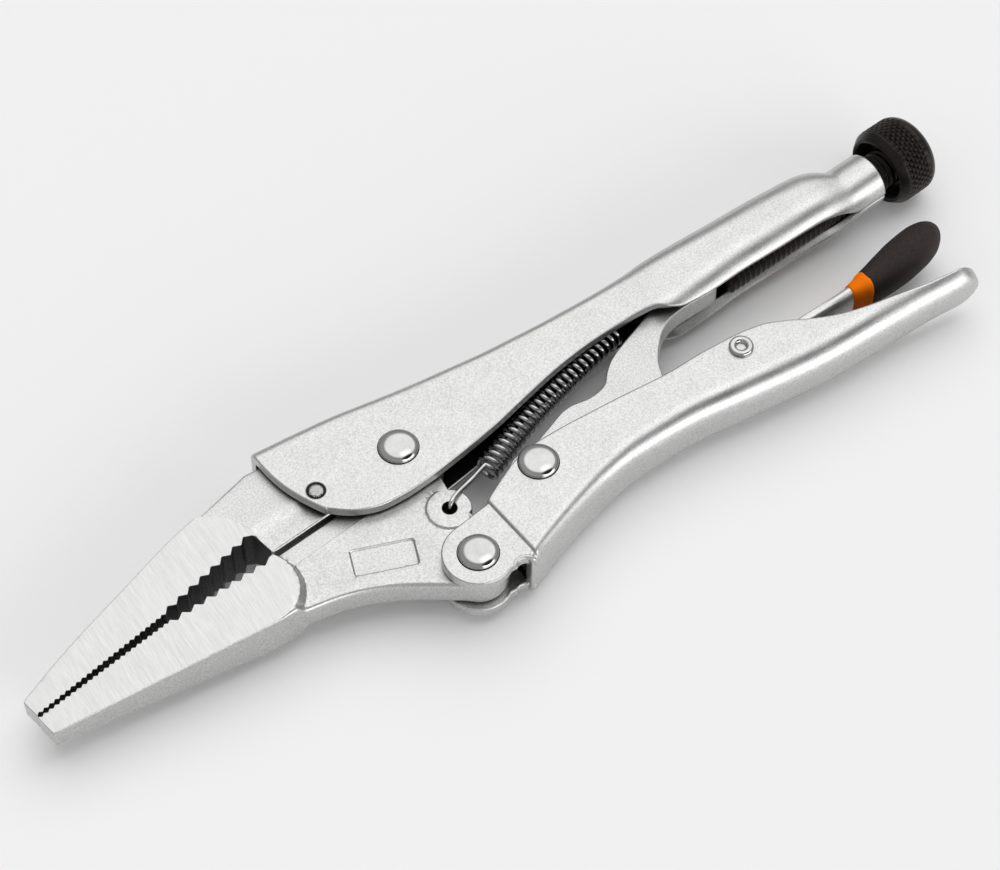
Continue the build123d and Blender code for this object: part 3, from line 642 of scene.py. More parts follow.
fixed_rows = [
    [-26.4, 15.66, -20.0, -5.2, CHEEK, 2.3, 0, 5, SHEET, 1.6],
    [-24.8, 15.66, -18.4, -6.65, CHEEK, 2.3, 0, 5, SHEET, 1.3],
    [-22.6, 15.6, -16.4, -8.1, CHEEK, 2.3, 0, 5, SHEET, 0.8],
    [-19.8, 15.55, -14.0, -9.35, CHEEK, 2.3, 0, 5, SHEET, 0.5],
    [-16.0, 15.45, -11.0, -10.3, CHEEK, 2.3, 0, 5, SHEET, 0.25],
    [-12.0, 15.3, -8.0, -10.65, CHEEK, 2.3, 0, 5, SHEET, 0.1],
    [-8.0, 15.1, -5.0, -10.62, CHEEK, 2.3, 0, 5, SHEET, 0],
    [0.5, 14.3, 1.0, -10.0, CHEEK, 2.4, 0, 5, SHEET, 0],
    [10.0, 13.4, 10.0, -8.3, CHEEK, 2.4, 0, 5, SHEET, 0],
    [20.0, 12.8, 20.0, -6.0, CHEEK, 2.4, 0, 5, SHEET, 0],
    [30.0, 12.4, 30.0, -3.0, CHEEK, 2.5, 0, 5, SHEET, 0],
    [40.0, 12.4, 40.0, -0.2, CHEEK, 2.5, 0, 5, SHEET, 0],
    [50.0, 12.7, 50.0, 1.7, CHEEK, 2.6, 0, 5, SHEET, 0],
    [58.0, 13.2, 58.0, 2.5, CHEEK, 2.8, 0, 5, SHEET, 0],
    [63.0, 13.75, 63.0, 2.8, 6.45, 3.2, 0, 5, SHEET, 0],
    [66.0, 14.2, 66.0, 2.2, 6.7, 3.8, 12, 5, SHEET, 0],
    [69.0, 14.75, 69.0, 0.2, 7.1, 4.4, 34, 5.8, SHEET, 0],
    [72.0, 15.2, 72.0, -0.7, 7.35, 4.9, 46, 6.4, SHEET, 0],
    [78.0, 15.8, 78.0, -0.35, REAR_CHEEK, 5.4, 54, 6.9, SHEET, 0],
    [90.0, 16.65, 90.0, 1.2, REAR_CHEEK, 5.9, 57, 7.2, SHEET, 0],
    [100.0, 17.4, 100.0, 2.0, REAR_CHEEK, 6.2, 59, 7.1, SHEET, 0],
    [108.0, 17.8, 108.0, 2.7, REAR_CHEEK, 6.5, 61, 6.9, SHEET, 0],
    [112.0, 18.0, 112.2, 2.95, REAR_CHEEK, 6.8, 63, 6.7, 2.4, 0],
    [115.3, 17.75, 116.2, 2.95, 7.15, 6.8, 67, 6.5, 2.2, 0],
    [118.2, 16.8, 119.4, 3.0, 6.55, 6.5, 76, 6.3, 1.8, 0],
    barrel_row(BARREL_START, 86, BARREL, 1.55),
    barrel_row(BARREL_START + 2, 88, BARREL, 1.55),
    barrel_row(BARREL_END - EDGE, 89, BARREL, 1.55),
]
shape = Mesh()
channel_mesh(shape, smooth_rows(fixed_rows, 1.1))
shape.build("fixed_handle_shell", "fixed_body", "handle_steel", [handle_steel, painted_shade_steel],
            ["fixed_handle"], sharp=75)

# ---------------------------------------------------------------- moving handle
moving_rows = [
    [9.3, -38.3, 7.5, -21.9, 6.30, 1.7, 0, 5, SHEET, 0],
    [10.1, -38.0, 8.3, -21.5, 6.36, 1.8, 0, 5, SHEET, 0],
    [10.55, -37.8, 8.7, -21.3, 6.95, 1.9, 0, 5, SHEET, 0],
    [11.0, -37.6, 9.1, -21.05, RAISED_CHEEK - 0.02, 2.0, 0, 5, SHEET, 0],
    [12.0, -37.15, 10.2, -20.4, RAISED_CHEEK, 2.2, 0, 5, SHEET, 0],
    [15.0, -36.0, 14.0, -18.3, RAISED_CHEEK, 2.6, 0, 5, SHEET, 0],
    [19.5, -34.3, 19.0, -15.9, RAISED_CHEEK, 3.0, 0, 5, SHEET, 0],
    [25.0, -32.3, 25.0, -14.5, RAISED_CHEEK, 3.3, 0, 5, SHEET, 0],
    [34.0, -29.6, 34.0, -14.1, RAISED_CHEEK, 4.0, 0, 5, SHEET, 0],
    [44.0, -27.8, 44.0, -14.1, RAISED_CHEEK, 4.6, 0, 5, SHEET, 0],
    [57.0, -27.2, 57.0, -14.4, RAISED_CHEEK, 5.0, 0, 5, SHEET, 0],
    [68.0, -27.9, 68.0, -13.75, RAISED_CHEEK, 5.3, 0, 5, SHEET, 0],
    [75.0, -28.4, 75.0, -13.7, RAISED_CHEEK, 5.4, 0, 5, SHEET, 0],
    [82.0, -28.85, 82.0, -14.4, RAISED_CHEEK, 5.6, 0, 5, SHEET, 0],
    [87.0, -29.1, 87.0, -16.2, RAISED_CHEEK, 5.7, 0, 5, SHEET, 0],
    [92.0, -29.2, 92.0, -18.7, RAISED_CHEEK, 5.8, 0, 5, SHEET, 0],
    [99.0, -29.0, 99.0, -21.3, RAISED_CHEEK, 5.9, 0, 5, 2.4, 0],
    [106.0, -28.7, 106.0, -22.7, RAISED_CHEEK, 6.0, 0, 5, 2.2, 0],
    [113.0, -28.4, 113.0, -23.5, 7.0, 6.1, 0, 5, 2.0, 0],
    [120.0, -28.15, 120.0, -24.2, 6.9, 6.2, 0, 5, 1.8, 0],
    [126.8, -28.1, 126.8, -24.6, RAISED_CHEEK, 6.2, 0, 5, 1.6, 0],
]
shape = Mesh()
channel_mesh(shape, smooth_rows(moving_rows, 1.1, 2.4, 0.12), capped=(True, False), closing=(6.0, 0.42))
NOTCH = HANDLE_PIVOT + [6.6, -8.0]
ear = arc(HANDLE_PIVOT, 7.6, 103, 303, 60)
ear += arc(NOTCH, 2.0, 128, 45, 14)
ear += [(9.7, -36.6), (11.6, -35.4), (12.0, -28.0), (11.0, -21.8), (8.4, -21.75)]
ear = divided(ear, 2.0)
for side in (1, -1):
    low, high = sorted((side * EAR_INNER, side * CHEEK))
    shape.add(*plate(ear, level(high), level(low), rim=0.4))
    ring = [(x, y, CHEEK - 0.42) for x, y in arc(NOTCH, 2.5, 138, 40, 12)]
    ring += [(9.35, -37.85, CHEEK - 0.75), (9.6, -38.0, CHEEK - 1.5), (9.6, -37.7, CHEEK - 2.8)]
    shape.add(*tube([(x, y, side * z) for x, y, z in curve_through(ring, 0.3)], 0.52, 12))
shape.build("moving_handle_shell", "moving_handle_body", "handle_steel", [handle_steel, painted_shade_steel],
            ["moving_handle"], sharp=75)

# ---------------------------------------------------------------- jaws
HEEL_X, TIP_X = -36.0, -93.0
JAW = 3.5                   # half thickness of the fixed jaw's body
PAD = 3.75                  # half thickness of the spring ear
SPLIT = -6.9                # where the jaws part, at the heel
NOSE_HEEL, NOSE_TIP = 5.5, 2.25


def nose_height(x):
    """Half thickness of both jaws' noses, tapering to the tip."""
    taper = (NOSE_HEEL - NOSE_TIP) / (HEEL_X - TIP_X + 1)
    return np.minimum(NOSE_TIP + (x - TIP_X + 1) * taper, NOSE_HEEL)


def teeth(start, end, count, height):
    """Saw line with slightly flattened tips and roots."""
    start, end = np.array(start), np.array(end)
    step = (end - start) / count
    normal = np.array([-step[1], step[0]]) / np.linalg.norm(step) * height
    points = []
    for tooth in range(count):
        for along, out in ((0.04, 0.06), (0.46, 0.94), (0.54, 0.94), (0.96, 0.06)):
            points.append(tuple(start + step * (tooth + along) + normal * out))
    return points


upper_mid, lower_mid = (-59.94, -8.7), (-59.94, -10.1)
upper_teeth = (teeth((-92.1, -14.725), upper_mid, 24, 0.5)
               + teeth(upper_mid, (-36.3, -2.3), 8, 1.1) + [(-36.3, -2.3)])
lower_teeth = (teeth((-92.1, -14.875), lower_mid, 24, -0.5)
               + teeth(lower_mid, (-36.1, -8.7), 8, -1.1) + [(-36.1, -8.7)])


def split_y(x):
    return SPLIT + 0.133 * (x - HEEL_X)


UPPER_HEEL, UPPER_HEEL_R = np.array([-48.2, -3.8]), 12.5
LOWER_HEEL, LOWER_HEEL_R = np.array([-42.0, -13.9]), 8.8


def chamfer_y(x):
    return 0.2 + (x + 34.6) * 0.108


def fixed_jaw_top(x, y):
    beyond = np.hypot(x - UPPER_HEEL[0], y - UPPER_HEEL[1]) - UPPER_HEEL_R
    beyond = np.where(x < UPPER_HEEL[0], -1, beyond)
    body = JAW - 0.55 * np.clip((chamfer_y(x) - y) / 1.5, 0, 1)
    return nose_height(x) + (body - nose_height(x)) * rise(beyond, 0.02, 0.8)


fixed_outline = upper_teeth + [(-35.5, -3.7), (-34.2, -6.2), (-33.9, split_y(-33.9))]
count_teeth = len(upper_teeth) + 1
fixed_outline += [(x, split_y(x)) for x in np.linspace(-33, -9.5, 24)]
fixed_outline += [(-9.5, 0.0), (-9.5, 12.0), (-22.0, 12.9)]
fixed_outline += curve_through([(-30.0, 12.9), (-37.0, 10.6), (-44.3, 8.1), (-52.0, 5.9), (-64.0, 1.5),
                                (-79.4, -4.2), (-92.4, -9.9)], 1.0)
fixed_outline += [(-93.1, -10.6), (-92.25, -14.5)]
teeth_flags = [1] * count_teeth + [0] * (len(fixed_outline) - count_teeth)
loop = np.array(fixed_outline)
rim = 0.2 + 0.45 * rise(loop[:, 0], -46, -34)
rim[:count_teeth + 2] = 0.1
lines = [arc(UPPER_HEEL, UPPER_HEEL_R + d, -20, 100, 60) for d in (0.02, 0.25, 0.5, 0.8)]
for d in (0.0, 1.5):
    lines.append([(x, chamfer_y(x) - d) for x in np.linspace(-34.9, -14, 30)])
shape = Mesh().add(*plate(fixed_outline, fixed_jaw_top, lambda x, y: -fixed_jaw_top(x, y),
                          rim=lambda l: rim, lines=lines, grid=1.6,
                          rim_pick=lambda l: [2 if f else 0 for f in teeth_flags], steps=3))


def pick_ground(shape, jaw_centre, jaw_radius):
    """The ground side faces of the nose take the ground finish."""
    for i, (face, pick) in enumerate(zip(shape.faces, shape.picks)):
        if pick == 0:
            p = np.array([shape.points[k] for k in face])
            x, y = p.mean(0)[:2]
            near = math.hypot(x - jaw_centre[0], y - jaw_centre[1]) < jaw_radius + 0.02
            off_nose = np.abs(np.abs(p[:, 2]) - nose_height(p[:, 0]))
            if (near or x < jaw_centre[0]) and np.all(off_nose < 1e-4):
                shape.picks[i] = 1


pick_ground(shape, UPPER_HEEL, UPPER_HEEL_R)
shape.build("fixed_jaw_shape", "fixed_body", "jaw_steel", [jaw_steel, nose_steel, tooth_dark], ["fixed_jaw"],
            sharp=50)

PLAQUE, PLAQUE_TURN = np.array([-15.4, -19.9]), math.radians(-18.7)
PLAQUE_HALF, PLAQUE_ROUND = np.array([7.0, 3.4]), 0.9


def plaque_distance(x, y):
    """Distance inside the sunk panel's rounded outline; negative outside."""
    c, s = math.cos(PLAQUE_TURN), math.sin(PLAQUE_TURN)
    u = np.abs((x - PLAQUE[0]) * c + (y - PLAQUE[1]) * s) - PLAQUE_HALF[0] + PLAQUE_ROUND
    v = np.abs(-(x - PLAQUE[0]) * s + (y - PLAQUE[1]) * c) - PLAQUE_HALF[1] + PLAQUE_ROUND
    return PLAQUE_ROUND - (np.hypot(np.maximum(u, 0), np.maximum(v, 0)) + np.minimum(np.maximum(u, v), 0))


def plaque_loop(depth):
    """The sunk panel's outline at a distance inside it."""
    c, s = math.cos(PLAQUE_TURN), math.sin(PLAQUE_TURN)
    half, r = PLAQUE_HALF - depth, max(PLAQUE_ROUND - depth, 0.15)
    loop = []
    for sx, sy, start in ((1, 1, 0), (-1, 1, 90), (-1, -1, 180), (1, -1, 270)):
        loop += arc((sx * (half[0] - r), sy * (half[1] - r)), r, start, start + 90, 6)
    loop = divided(loop, 1.0)
    loop.append(loop[0])
    return [(PLAQUE[0] + u * c - v * s, PLAQUE[1] + u * s + v * c) for u, v in loop]


BODY = 3.3


def step_y(x):
    return -11.8 + (x + 32.1) * 0.144


def moving_jaw_top(x, y):
    beyond = np.hypot(x - LOWER_HEEL[0], y - LOWER_HEEL[1]) - LOWER_HEEL_R
    beyond = np.where(x < LOWER_HEEL[0], -1, beyond)
    body = np.full(np.shape(x), BODY) - 0.6 * rise(y - step_y(x), -0.25, 0.15)
    ear = np.hypot(x - SPRING_EAR[0], y - SPRING_EAR[1])
    body = np.where(ear < 5.3, body + (PAD - body) * rise(4.9 - ear, -0.35, 0.35), body)
    body = body - 0.55 * rise(plaque_distance(x, y), 0.0, 0.55)
    return nose_height(x) + (body - nose_height(x)) * rise(beyond, 0.0, 1.5)


moving_outline = curve_through([(-91.3, -20.0), (-75.0, -20.85), (-58.0, -21.8), (-44.0, -22.6)], 1.5)
moving_outline += curve_through([(-41.5, -22.72), (-36.0, -22.5), (-28.0, -23.5), (-22.0, -25.2),
                                 (-16.0, -27.8), (-10.0, -31.4), (-5.4, -34.4)], 0.8)
moving_outline += arc(HANDLE_PIVOT, 6.4, 225, 372, 30)
moving_outline += [(6.5, -24.5)]
moving_outline += arc(SPRING_EAR, 4.7, -42, 62, 24)
moving_outline += arc((0, 0), 9.5, -60, 208, 60)
moving_outline += [(x, split_y(x) - 1.2) for x in np.linspace(-9.6, -33.6, 22)]
moving_outline += [(-35.0, -8.2)]
start_teeth = len(moving_outline)
moving_outline += lower_teeth[::-1]
end_teeth = len(moving_outline)
moving_outline += [(-92.2, -15.1)]
loop_m = np.array(moving_outline)
rim_m = 0.22 + 0.85 * rise(loop_m[:, 0], -43, -36)
rim_m[(loop_m[:, 1] > -20) & (loop_m[:, 0] > -36)] = 0.35
rim_m[start_teeth - 1:] = 0.1
flags_m = ([0] * (start_teeth - 1) + [1] * (end_teeth - start_teeth + 1)
           + [0] * (len(moving_outline) - end_teeth))
lines = [arc(LOWER_HEEL, LOWER_HEEL_R + d, -95, 50, 60) for d in (0.0, 0.4, 0.8, 1.2, 1.5)]
for d in (-0.25, -0.05, 0.15):
    lines.append([(x, step_y(x) + d) for x in np.linspace(-33, -8, 30)])
lines += [plaque_loop(d) for d in (0.0, 0.2, 0.4, 0.55)]
lines += [arc(SPRING_EAR, 4.9 - d, 90, 330, 60) for d in (-0.35, -0.12, 0.12, 0.35)]
hole = arc(SPRING_EAR, 1.5, 360, 0, 40)[:-1]
# the spring ear's hole wall takes the dark tooth steel: painted shade inside the hole
shape = Mesh().add(*plate(moving_outline, moving_jaw_top, lambda x, y: -moving_jaw_top(x, y),
                          rim=lambda l: rim_m, holes=[hole], lines=lines, grid=1.6,
                          rim_pick=lambda l: [2 if f else 0 for f in flags_m], hole_pick=2, steps=3))
pick_ground(shape, LOWER_HEEL, LOWER_HEEL_R)
shape.build("moving_jaw_shape", "moving_jaw_body", "jaw_steel", [jaw_steel, nose_steel, tooth_dark],
            ["moving_jaw"], sharp=50)

# ---------------------------------------------------------------- toggle link
link = arc(LINK_PIVOT, 6.4, 80, 262, 40)
link += curve_through([(24.0, -25.45), (36.0, -23.4), (47.0, -20.4), (55.0, -16.6), (58.4, -12.6),
                       (60.0, -8.6), (62.6, -5.0), (66.0, -1.8), (71.0, 0.2), (80.6, 1.0)])
link += arc(LINK_SEAT, 3.4, -70, 115, 24)
link += curve_through([(76.0, 7.2), (70.0, 5.6), (62.0, 2.2), (53.0, -1.8), (49.2, -4.6), (46.6, -7.4),
                       (42.4, -8.5), (36.4, -8.2), (29.4, -10.9), (24.6, -12.9)])
shape = Mesh().add(*plate(link, level(LINK_HALF), level(-LINK_HALF), rim=0.45))
shape.build("toggle_link_shape", "link_body", "link_steel", [jaw_steel], ["toggle_link"])

# ---------------------------------------------------------------- rivets and pin
def rivet(name, place, half_grip, body, node):
    """Polished rivet: full low heads, rounded at the rim."""
    head = RIVET_HEAD
    profile = [(0.0, half_grip + RIVET_RISE)]
    for a in np.radians(np.linspace(4, 90, 22)):
        dome = math.cos(a) ** 0.82 if a < 1.57 else 0
        profile.append((head * math.sin(a) ** 0.9, half_grip + RIVET_RISE * dome))
    profile += [(head + 0.16, half_grip + 0.03), (head + 0.16, half_grip - 0.05),
                (head * 0.8, half_grip - 0.1)]
    profile += [(r, -z) for r, z in profile[::-1]]
    points, faces = lathe(profile, place)
    reach = [np.mean([math.dist(points[k][:2], place) for k in face]) for face in faces]
    # faces beyond the head's radius take the near-black steel: a painted shade ring where the head meets the
    # sheet
    shape = Mesh().add(points, faces, [1 if r > head else 0 for r in reach])
    shape.build(name, body, "rivet_steel", [rivet_steel, painted_shade_steel], [node])


rivet("main_rivet", (0, 0), CHEEK, "fixed_body", "main_pivot_rivet")
rivet("handle_rivet", HANDLE_PIVOT, CHEEK, "moving_handle_body", "handle_pivot_rivet")
rivet("link_rivet", LINK_PIVOT, RAISED_CHEEK, "moving_handle_body", "link_pivot_rivet")

profile = [(1.9, 0.0), (1.9, 7.05), (2.5, 7.08), (2.66, 7.25), (2.7, 7.5), (2.58, 7.8), (2.3, 8.0),
           (1.95, 8.08), (1.6, 8.02), (1.3, 7.85), (1.08, 7.6), (0.95, 7.2), (0.9, 6.6), (0.9, 0.0)]
profile += [(r, -z) for r, z in profile[::-1]]
shape = Mesh().add(*lathe(profile, LEVER_PIVOT, 56))
shape.build("lever_tube_rivet", "moving_handle_body", "rivet_steel", [rivet_steel], ["lever_rivet"])

profile = [(0.0, 6.5), (0.5, 6.58), (0.9, 6.62), (1.25, 6.6), (1.48, 6.53), (1.58, 6.45), (2.0, 6.45),
           (2.12, 6.45), (2.3, 6.4), (1.9, 6.2)]
profile += [(r, -z) for r, z in profile[::-1]]
points, faces = lathe(profile, PIN_PLACE, 48)
# the ring round the pin head takes the near-black steel: painted shade of the recess the pin sits in
picks = []
for face in faces:
    reach = np.mean([math.dist(points[k][:2], PIN_PLACE) for k in face])
    picks.append(1 if 1.53 < reach < 2.1 else 0)
for i, (x, y, z) in enumerate(points):
    u, v = x - PIN_PLACE[0], y - PIN_PLACE[1]
    dent = 0.11 * math.sin(3.1 * u + 0.5) * math.cos(3.7 * v + 0.6) * (math.hypot(u, v) < 1.4)
    points[i] = (x, y, z + math.copysign(dent, z))
shape = Mesh().add(points, faces, picks)
shape.build("jaw_pin", "fixed_body", "pin_steel", [pin_steel, painted_shade_steel], ["jaw_fixing_pin"])

# ---------------------------------------------------------------- release lever, collar and grip
lever_line = curve_through([LEVER_PIVOT + [-20.5, -4.7], LEVER_PIVOT + [-9, -2.9], LEVER_PIVOT,
                            LEVER_PIVOT + [9, -0.1], (93.0, -16.4), (105.2, -15.4), (115.2, -14.4),
                            (126.2, -11.9), (129.6, -10.6)], 0.7)


def thick_line(line, half):
    """The closed outline of a bent strip of a given half thickness, with round ends."""
    p = np.array(line)
    t = np.gradient(p, axis=0)
    t /= np.linalg.norm(t, axis=1)[:, None]
    n = np.stack([-t[:, 1], t[:, 0]], axis=1) * half
    left, right = [tuple(q) for q in p + n], [tuple(q) for q in p - n]
    start, end = math.degrees(math.atan2(*t[0][::-1])), math.degrees(math.atan2(*t[-1][::-1]))
    return (right + arc(p[-1], half, end - 75, end + 75, 6) + left[::-1]
            + arc(p[0], half, start + 105, start + 255, 6))


def loft(keys, step, power=2.2, sides=56):
    """A closed soft form through (x, middle y, half height, half width) sections."""
    keys = np.array(keys, float)
    t = keys[:, 0]
    q = np.linspace(t[0], t[-1], int((t[-1] - t[0]) / step) + 1)
    rows = [smooth_values(t, keys[:, c], q) for c in range(1, 4)]
    points = []
    for i, x in enumerate(q):
        slope = (rows[0][min(i + 1, len(q) - 1)] - rows[0][max(i - 1, 0)]) / (2 * step)
        for k in range(sides):
            a = 2 * math.pi * k / sides
            c, s = math.cos(a), math.sin(a)
            y = rows[1][i] * math.copysign(abs(c) ** (2 / power), c)
            z = rows[2][i] * math.copysign(abs(s) ** (2 / power), s)
            points.append((x - slope * y, rows[0][i] + y, z))
    ends = [tuple(range(sides)), tuple(range((len(q) - 1) * sides, len(q) * sides))]
    return points, ring_faces(len(q), sides) + ends


shape = Mesh().add(*plate(thick_line(lever_line, 1.0), level(LEVER_HALF), level(-LEVER_HALF), rim=0.55))
shape.add(*lathe([(0, 4.4), (3.3, 4.4), (3.6, 4.1), (3.6, -4.1), (3.3, -4.4), (0, -4.4)], LEVER_PIVOT, 40))
shape.add(*loft([(86.0, -16.95, 0.9, 3.6), (92.0, -16.5, 1.05, 3.7), (98.0, -16.0, 1.35, 3.85),
                 (103.0, -15.6, 1.65, 4.05), (106.0, -15.35, 1.7, 4.1)], 0.4, 2.3))
shape.build("release_lever_strip", "lever_body", "lever_steel", [lever_steel], ["release_lever"])

collar = [(105.6, -15.4, 1.3, 4.1), (105.75, -15.4, 1.75, 4.35), (106.1, -15.35, 1.95, 4.45),
          (108.0, -15.2, 2.4, 4.8), (110.0, -14.95, 2.95, 5.15), (110.4, -14.9, 2.9, 5.1)]
shape = Mesh().add(*loft(collar, 0.1, 2.6))
shape.build("orange_collar", "lever_body", "collar", [collar_orange], ["lever_collar"])
grip = [(109.9, -14.95, 2.7, 4.9), (110.2, -14.9, 3.05, 5.2), (113.0, -14.4, 3.45, 5.6),
        (117.0, -13.6, 3.95, 5.95), (122.0, -12.5, 4.3, 6.2), (126.5, -11.5, 4.2, 6.15),
        (129.8, -10.9, 3.65, 5.5), (131.8, -10.55, 2.8, 4.3), (132.9, -10.4, 1.9, 3.0),
        (133.4, -10.35, 1.2, 1.9), (133.6, -10.3, 0.5, 0.8), (133.65, -10.3, 0.05, 0.08)]
shape = Mesh().add(*loft(grip, 0.12, 2.15))
shape.build("dark_grip", "lever_body", "grip", [grip_rubber], ["lever_grip"])

# ---------------------------------------------------------------- jaw spring
WIRE, COIL, PITCH = 0.52, 2.55, 1.78
COIL_POINTS = 1500
coil_axis = resample(curve_through([(14.4, -11.2), (27.4, -5.2), (36.4, -1.8), (45.4, 1.0), (57.0, 4.8)]),
                     COIL_POINTS)
run = np.concatenate([[0], np.cumsum(np.linalg.norm(np.diff(coil_axis, axis=0), axis=1))])
heading = np.gradient(coil_axis, axis=0)
heading /= np.linalg.norm(heading, axis=1)[:, None]
sideways = np.stack([-heading[:, 1], heading[:, 0]], axis=1)
turn = 2 * math.pi * run / PITCH + math.pi / 2
coil_path = [(*(c + s * COIL * math.cos(a)), COIL * math.sin(a))
             for c, s, a in zip(coil_axis, sideways, turn)]
front = coil_path[0]
hook = [(SPRING_EAR[0] - 0.1, SPRING_EAR[1] - 0.1, -1.5), (SPRING_EAR[0], SPRING_EAR[1], 1.2),
        (SPRING_EAR[0] + 0.15, SPRING_EAR[1] + 0.1, 3.3), (SPRING_EAR[0] + 1.0, SPRING_EAR[1] + 0.8, 4.4),
        (SPRING_EAR[0] + 3.2, SPRING_EAR[1] + 2.0, 4.3), (9.5, -13.4, 3.5), (12.0, -12.2, 2.9),
        (front[0] - 0.9, front[1] - 0.3, front[2])]
shape = Mesh()
shape.add(*tube(curve_through(hook, 0.35) + [front], WIRE, 12), pick=1)
shape.add(*tube(coil_path, WIRE, 12), pick=0)
tail = [coil_path[-1], (coil_axis[-1][0] + 1.4, coil_axis[-1][1] + 1.6, 0.9), (61.0, 6.2, 0.1),
        (65.6, 6.2, 0.0)]
shape.add(*tube(curve_through(tail, 0.4), WIRE, 12), pick=0)
spring = shape.build("coil_spring", None, "spring_steel", [spring_black, hook_steel], ["jaw_spring"],
                     sharp=60)
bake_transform(spring)

# tongue under the spine that holds the spring's rear hook, in the near-black steel as painted shade under the
# spine
tongue = [(63.0, 4.9), (64.6, 4.9), (64.6, 12.2), (63.0, 12.2)]
shape = Mesh().add(*plate(divided(tongue, 1.5), level(1.5), level(-1.5), rim=0.2))
shape.build("spring_tongue", "fixed_body", "handle_steel", [painted_shade_steel])

# ---------------------------------------------------------------- adjusting screw
SCREW_TIP, THREAD, KNOB_START, KNOB_LENGTH, KNOB, KNOB_ROUND = 5.3, 1.5, 53.0, 11.2, 9.25, 3.2


def about_screw(rows, segments):
    """A turned shape about the screw, from rows of (distance, radius function of angle)."""
    points = []
    for distance, radius in rows:
        for k in range(segments):
            a = 2 * math.pi * k / segments
            r = radius(a) if callable(radius) else radius
            x, y = LINK_SEAT + SCREW_DIR * distance + SCREW_SIDE * (r * math.cos(a))
            points.append((x, y, r * math.sin(a)))
    return points, ring_faces(len(rows), segments)


def thread(distance, radius=4.55, depth=0.62):
    def at(a):
        phase = (distance / THREAD - a / (2 * math.pi)) % 1
        ridge = abs(2 * phase - 1)
        return radius - depth * float(rise(ridge, 0.15, 0.85))
    return at


def knurl(distance, radius, blend=1.0, depth=0.55, count=38):
    def at(a):
        skew = (distance - KNOB_START) * 0.56
        u, v = (count * a / (2 * math.pi) + skew) % 1, (count * a / (2 * math.pi) - skew) % 1
        groove = max(float(rise(abs(2 * u - 1), 0.5, 1.0)), float(rise(abs(2 * v - 1), 0.5, 1.0)))
        return radius - depth * groove * blend
    return at


shape = Mesh()
rows = [(SCREW_TIP, 0.01), (SCREW_TIP, 3.0), (SCREW_TIP + 0.4, 3.4)]
rows += [(s, thread(s, min(4.55, 3.6 + (s - SCREW_TIP) * 0.9)))
         for s in np.arange(SCREW_TIP + 0.8, 58.2, 0.19)]
rows += [(58.3, 0.01)]
shape.add(*about_screw(rows, 56))
rows = [(KNOB_START + 4.6, 0.01), (KNOB_START + 4.5, 4.4), (KNOB_START + 4.2, 5.4), (KNOB_START + 3.2, 6.0),
        (KNOB_START + 1.6, 6.6), (KNOB_START + 0.5, 7.15), (KNOB_START + 0.12, 7.35), (KNOB_START, 7.55),
        (KNOB_START, 7.8), (KNOB_START + 0.15, 8.0), (KNOB_START + 0.8, 8.45), (KNOB_START + 1.5, 8.9),
        (KNOB_START + 1.8, 9.08)]
band_end = KNOB_START + KNOB_LENGTH - KNOB_ROUND
for s in np.arange(KNOB_START + 1.95, band_end, 0.16):
    edge = min(1, (s - KNOB_START - 1.9) / 0.5, (band_end - s) / 0.5 + 0.1)
    rows.append((s, knurl(s, KNOB - 0.1 * (1 - edge), max(edge, 0))))
for a in np.radians(np.linspace(8, 90, 12)):
    rows.append((band_end + KNOB_ROUND * math.sin(a), KNOB - KNOB_ROUND + KNOB_ROUND * math.cos(a)))
rows += [(KNOB_START + KNOB_LENGTH, 2.5), (KNOB_START + KNOB_LENGTH, 0.01)]
shape.add(*about_screw(rows, 312))
shape.build("adjusting_screw_knob", "screw_body", "black_oxide", [oxide_black], ["adjusting_screw"],
            sharp=70)

# ---------------------------------------------------------------- floor, light and camera
bpy.ops.mesh.primitive_plane_add(size=6.0, location=(0, 0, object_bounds()[0][2]))
floor = bpy.context.object
floor.name = "floor"
material, tree, shader = new_material("pale_floor")
shader.inputs["Base Color"].default_value = (0.97, 0.97, 0.97, 1)
shader.inputs["Roughness"].default_value = 0.9
floor.data.materials.append(material)

scene = bpy.context.scene
scene.view_settings.view_transform = "Standard"
world = bpy.data.worlds.new("studio")
scene.world = world
world.use_nodes = True
tree = world.node_tree
background = tree.nodes["Background"]
direction = tree.nodes.new("ShaderNodeTexCoord").outputs["Generated"]


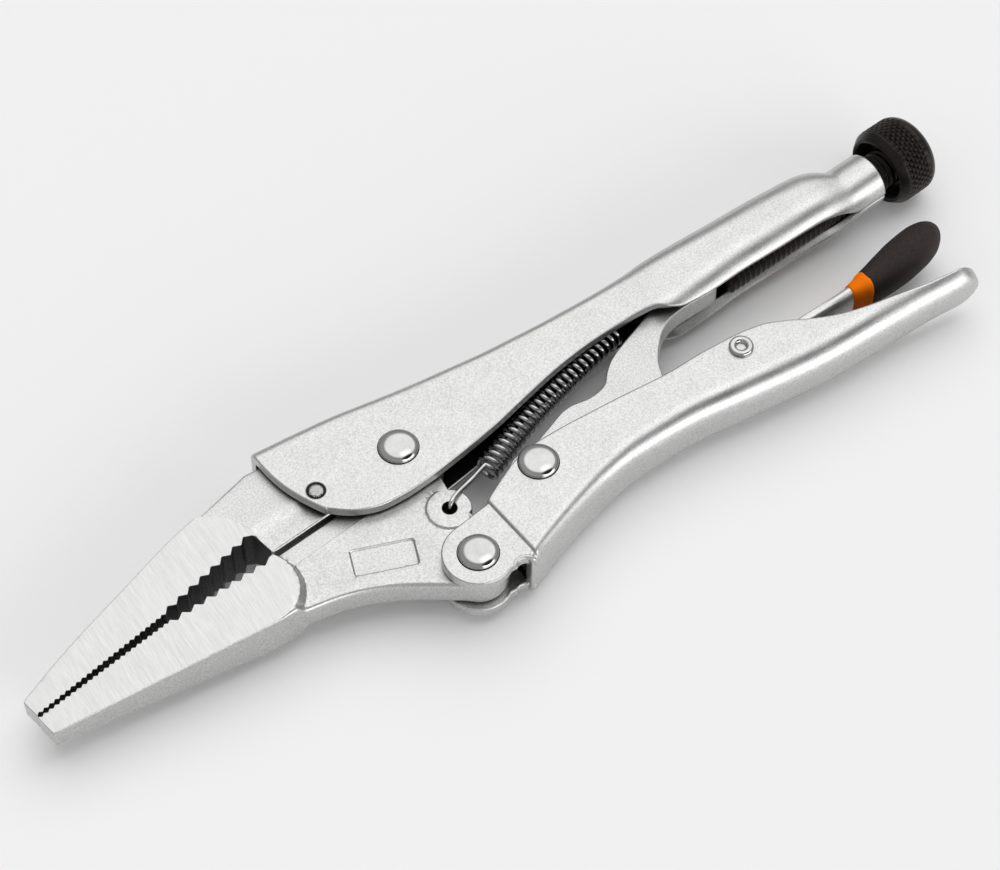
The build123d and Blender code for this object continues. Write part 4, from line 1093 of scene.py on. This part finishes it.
def spot(toward, wide, narrow):
    """1 within a narrow angle of a direction, 0 beyond a wide one."""
    dot = tree.nodes.new("ShaderNodeVectorMath")
    dot.operation = "DOT_PRODUCT"
    dot.inputs[1].default_value = Vector(toward).normalized()
    tree.links.new(direction, dot.inputs[0])
    ranger = tree.nodes.new("ShaderNodeMapRange")
    ranger.interpolation_type = "SMOOTHSTEP"
    ranger.inputs["From Min"].default_value = math.cos(math.radians(wide))
    ranger.inputs["From Max"].default_value = math.cos(math.radians(narrow))
    tree.links.new(dot.outputs["Value"], ranger.inputs["Value"])
    return ranger.outputs["Result"]


split = tree.nodes.new("ShaderNodeSeparateXYZ")
tree.links.new(direction, split.inputs[0])
height = tree.nodes.new("ShaderNodeValToRGB")
elements = height.color_ramp.elements
elements[0].position, elements[0].color = 0.0, (0.2, 0.2, 0.2, 1)
elements[1].position, elements[1].color = 1.0, (0.45, 0.45, 0.45, 1)
for position, value in ((0.1, 0.22), (0.25, 0.44), (0.6, 0.48)):
    element = elements.new(position)
    element.color = (value, value, value, 1)
tree.links.new(split.outputs["Z"], height.inputs["Fac"])
glow = None
# lamps and flags: direction, outer and inner angle, brightness there
for toward, wide, narrow, bright in (((0.30, 0.26, 0.92), 44, 31, 1.5),
                                     ((0.30, -0.10, 0.95), 20, 6, 2.1),
                                     ((0.34, -0.93, 0.34), 36, 20, 3.0),
                                     ((0.30, -0.60, 0.74), 27, 14, 0.03)):
    mix = tree.nodes.new("ShaderNodeMix")
    mix.data_type = "RGBA"
    tree.links.new(spot(toward, wide, narrow), mix.inputs[0])
    tree.links.new(glow or height.outputs["Color"], mix.inputs[6])
    mix.inputs[7].default_value = (bright, bright, bright, 1)
    glow = mix.outputs[2]
tree.links.new(glow, background.inputs["Color"])

TARGET = PIVOT + np.array([21.92, -5.0, 0.0]) * MM
AZIMUTH, ELEVATION, DISTANCE = math.radians(-32.2), math.radians(55.5), 0.6
back = Vector((math.sin(AZIMUTH) * math.cos(ELEVATION), -math.cos(AZIMUTH) * math.cos(ELEVATION),
               math.sin(ELEVATION)))
camera = bpy.data.objects.new("camera", bpy.data.cameras.new("camera"))
scene.collection.objects.link(camera)
camera.location = Vector(TARGET) + back * DISTANCE
camera.rotation_euler = (-back).to_track_quat("-Z", "Y").to_euler()
camera.data.sensor_width = 36
camera.data.lens = 101.9
camera.data.clip_start = 0.01
scene.camera = camera

bpy.context.view_layer.update()
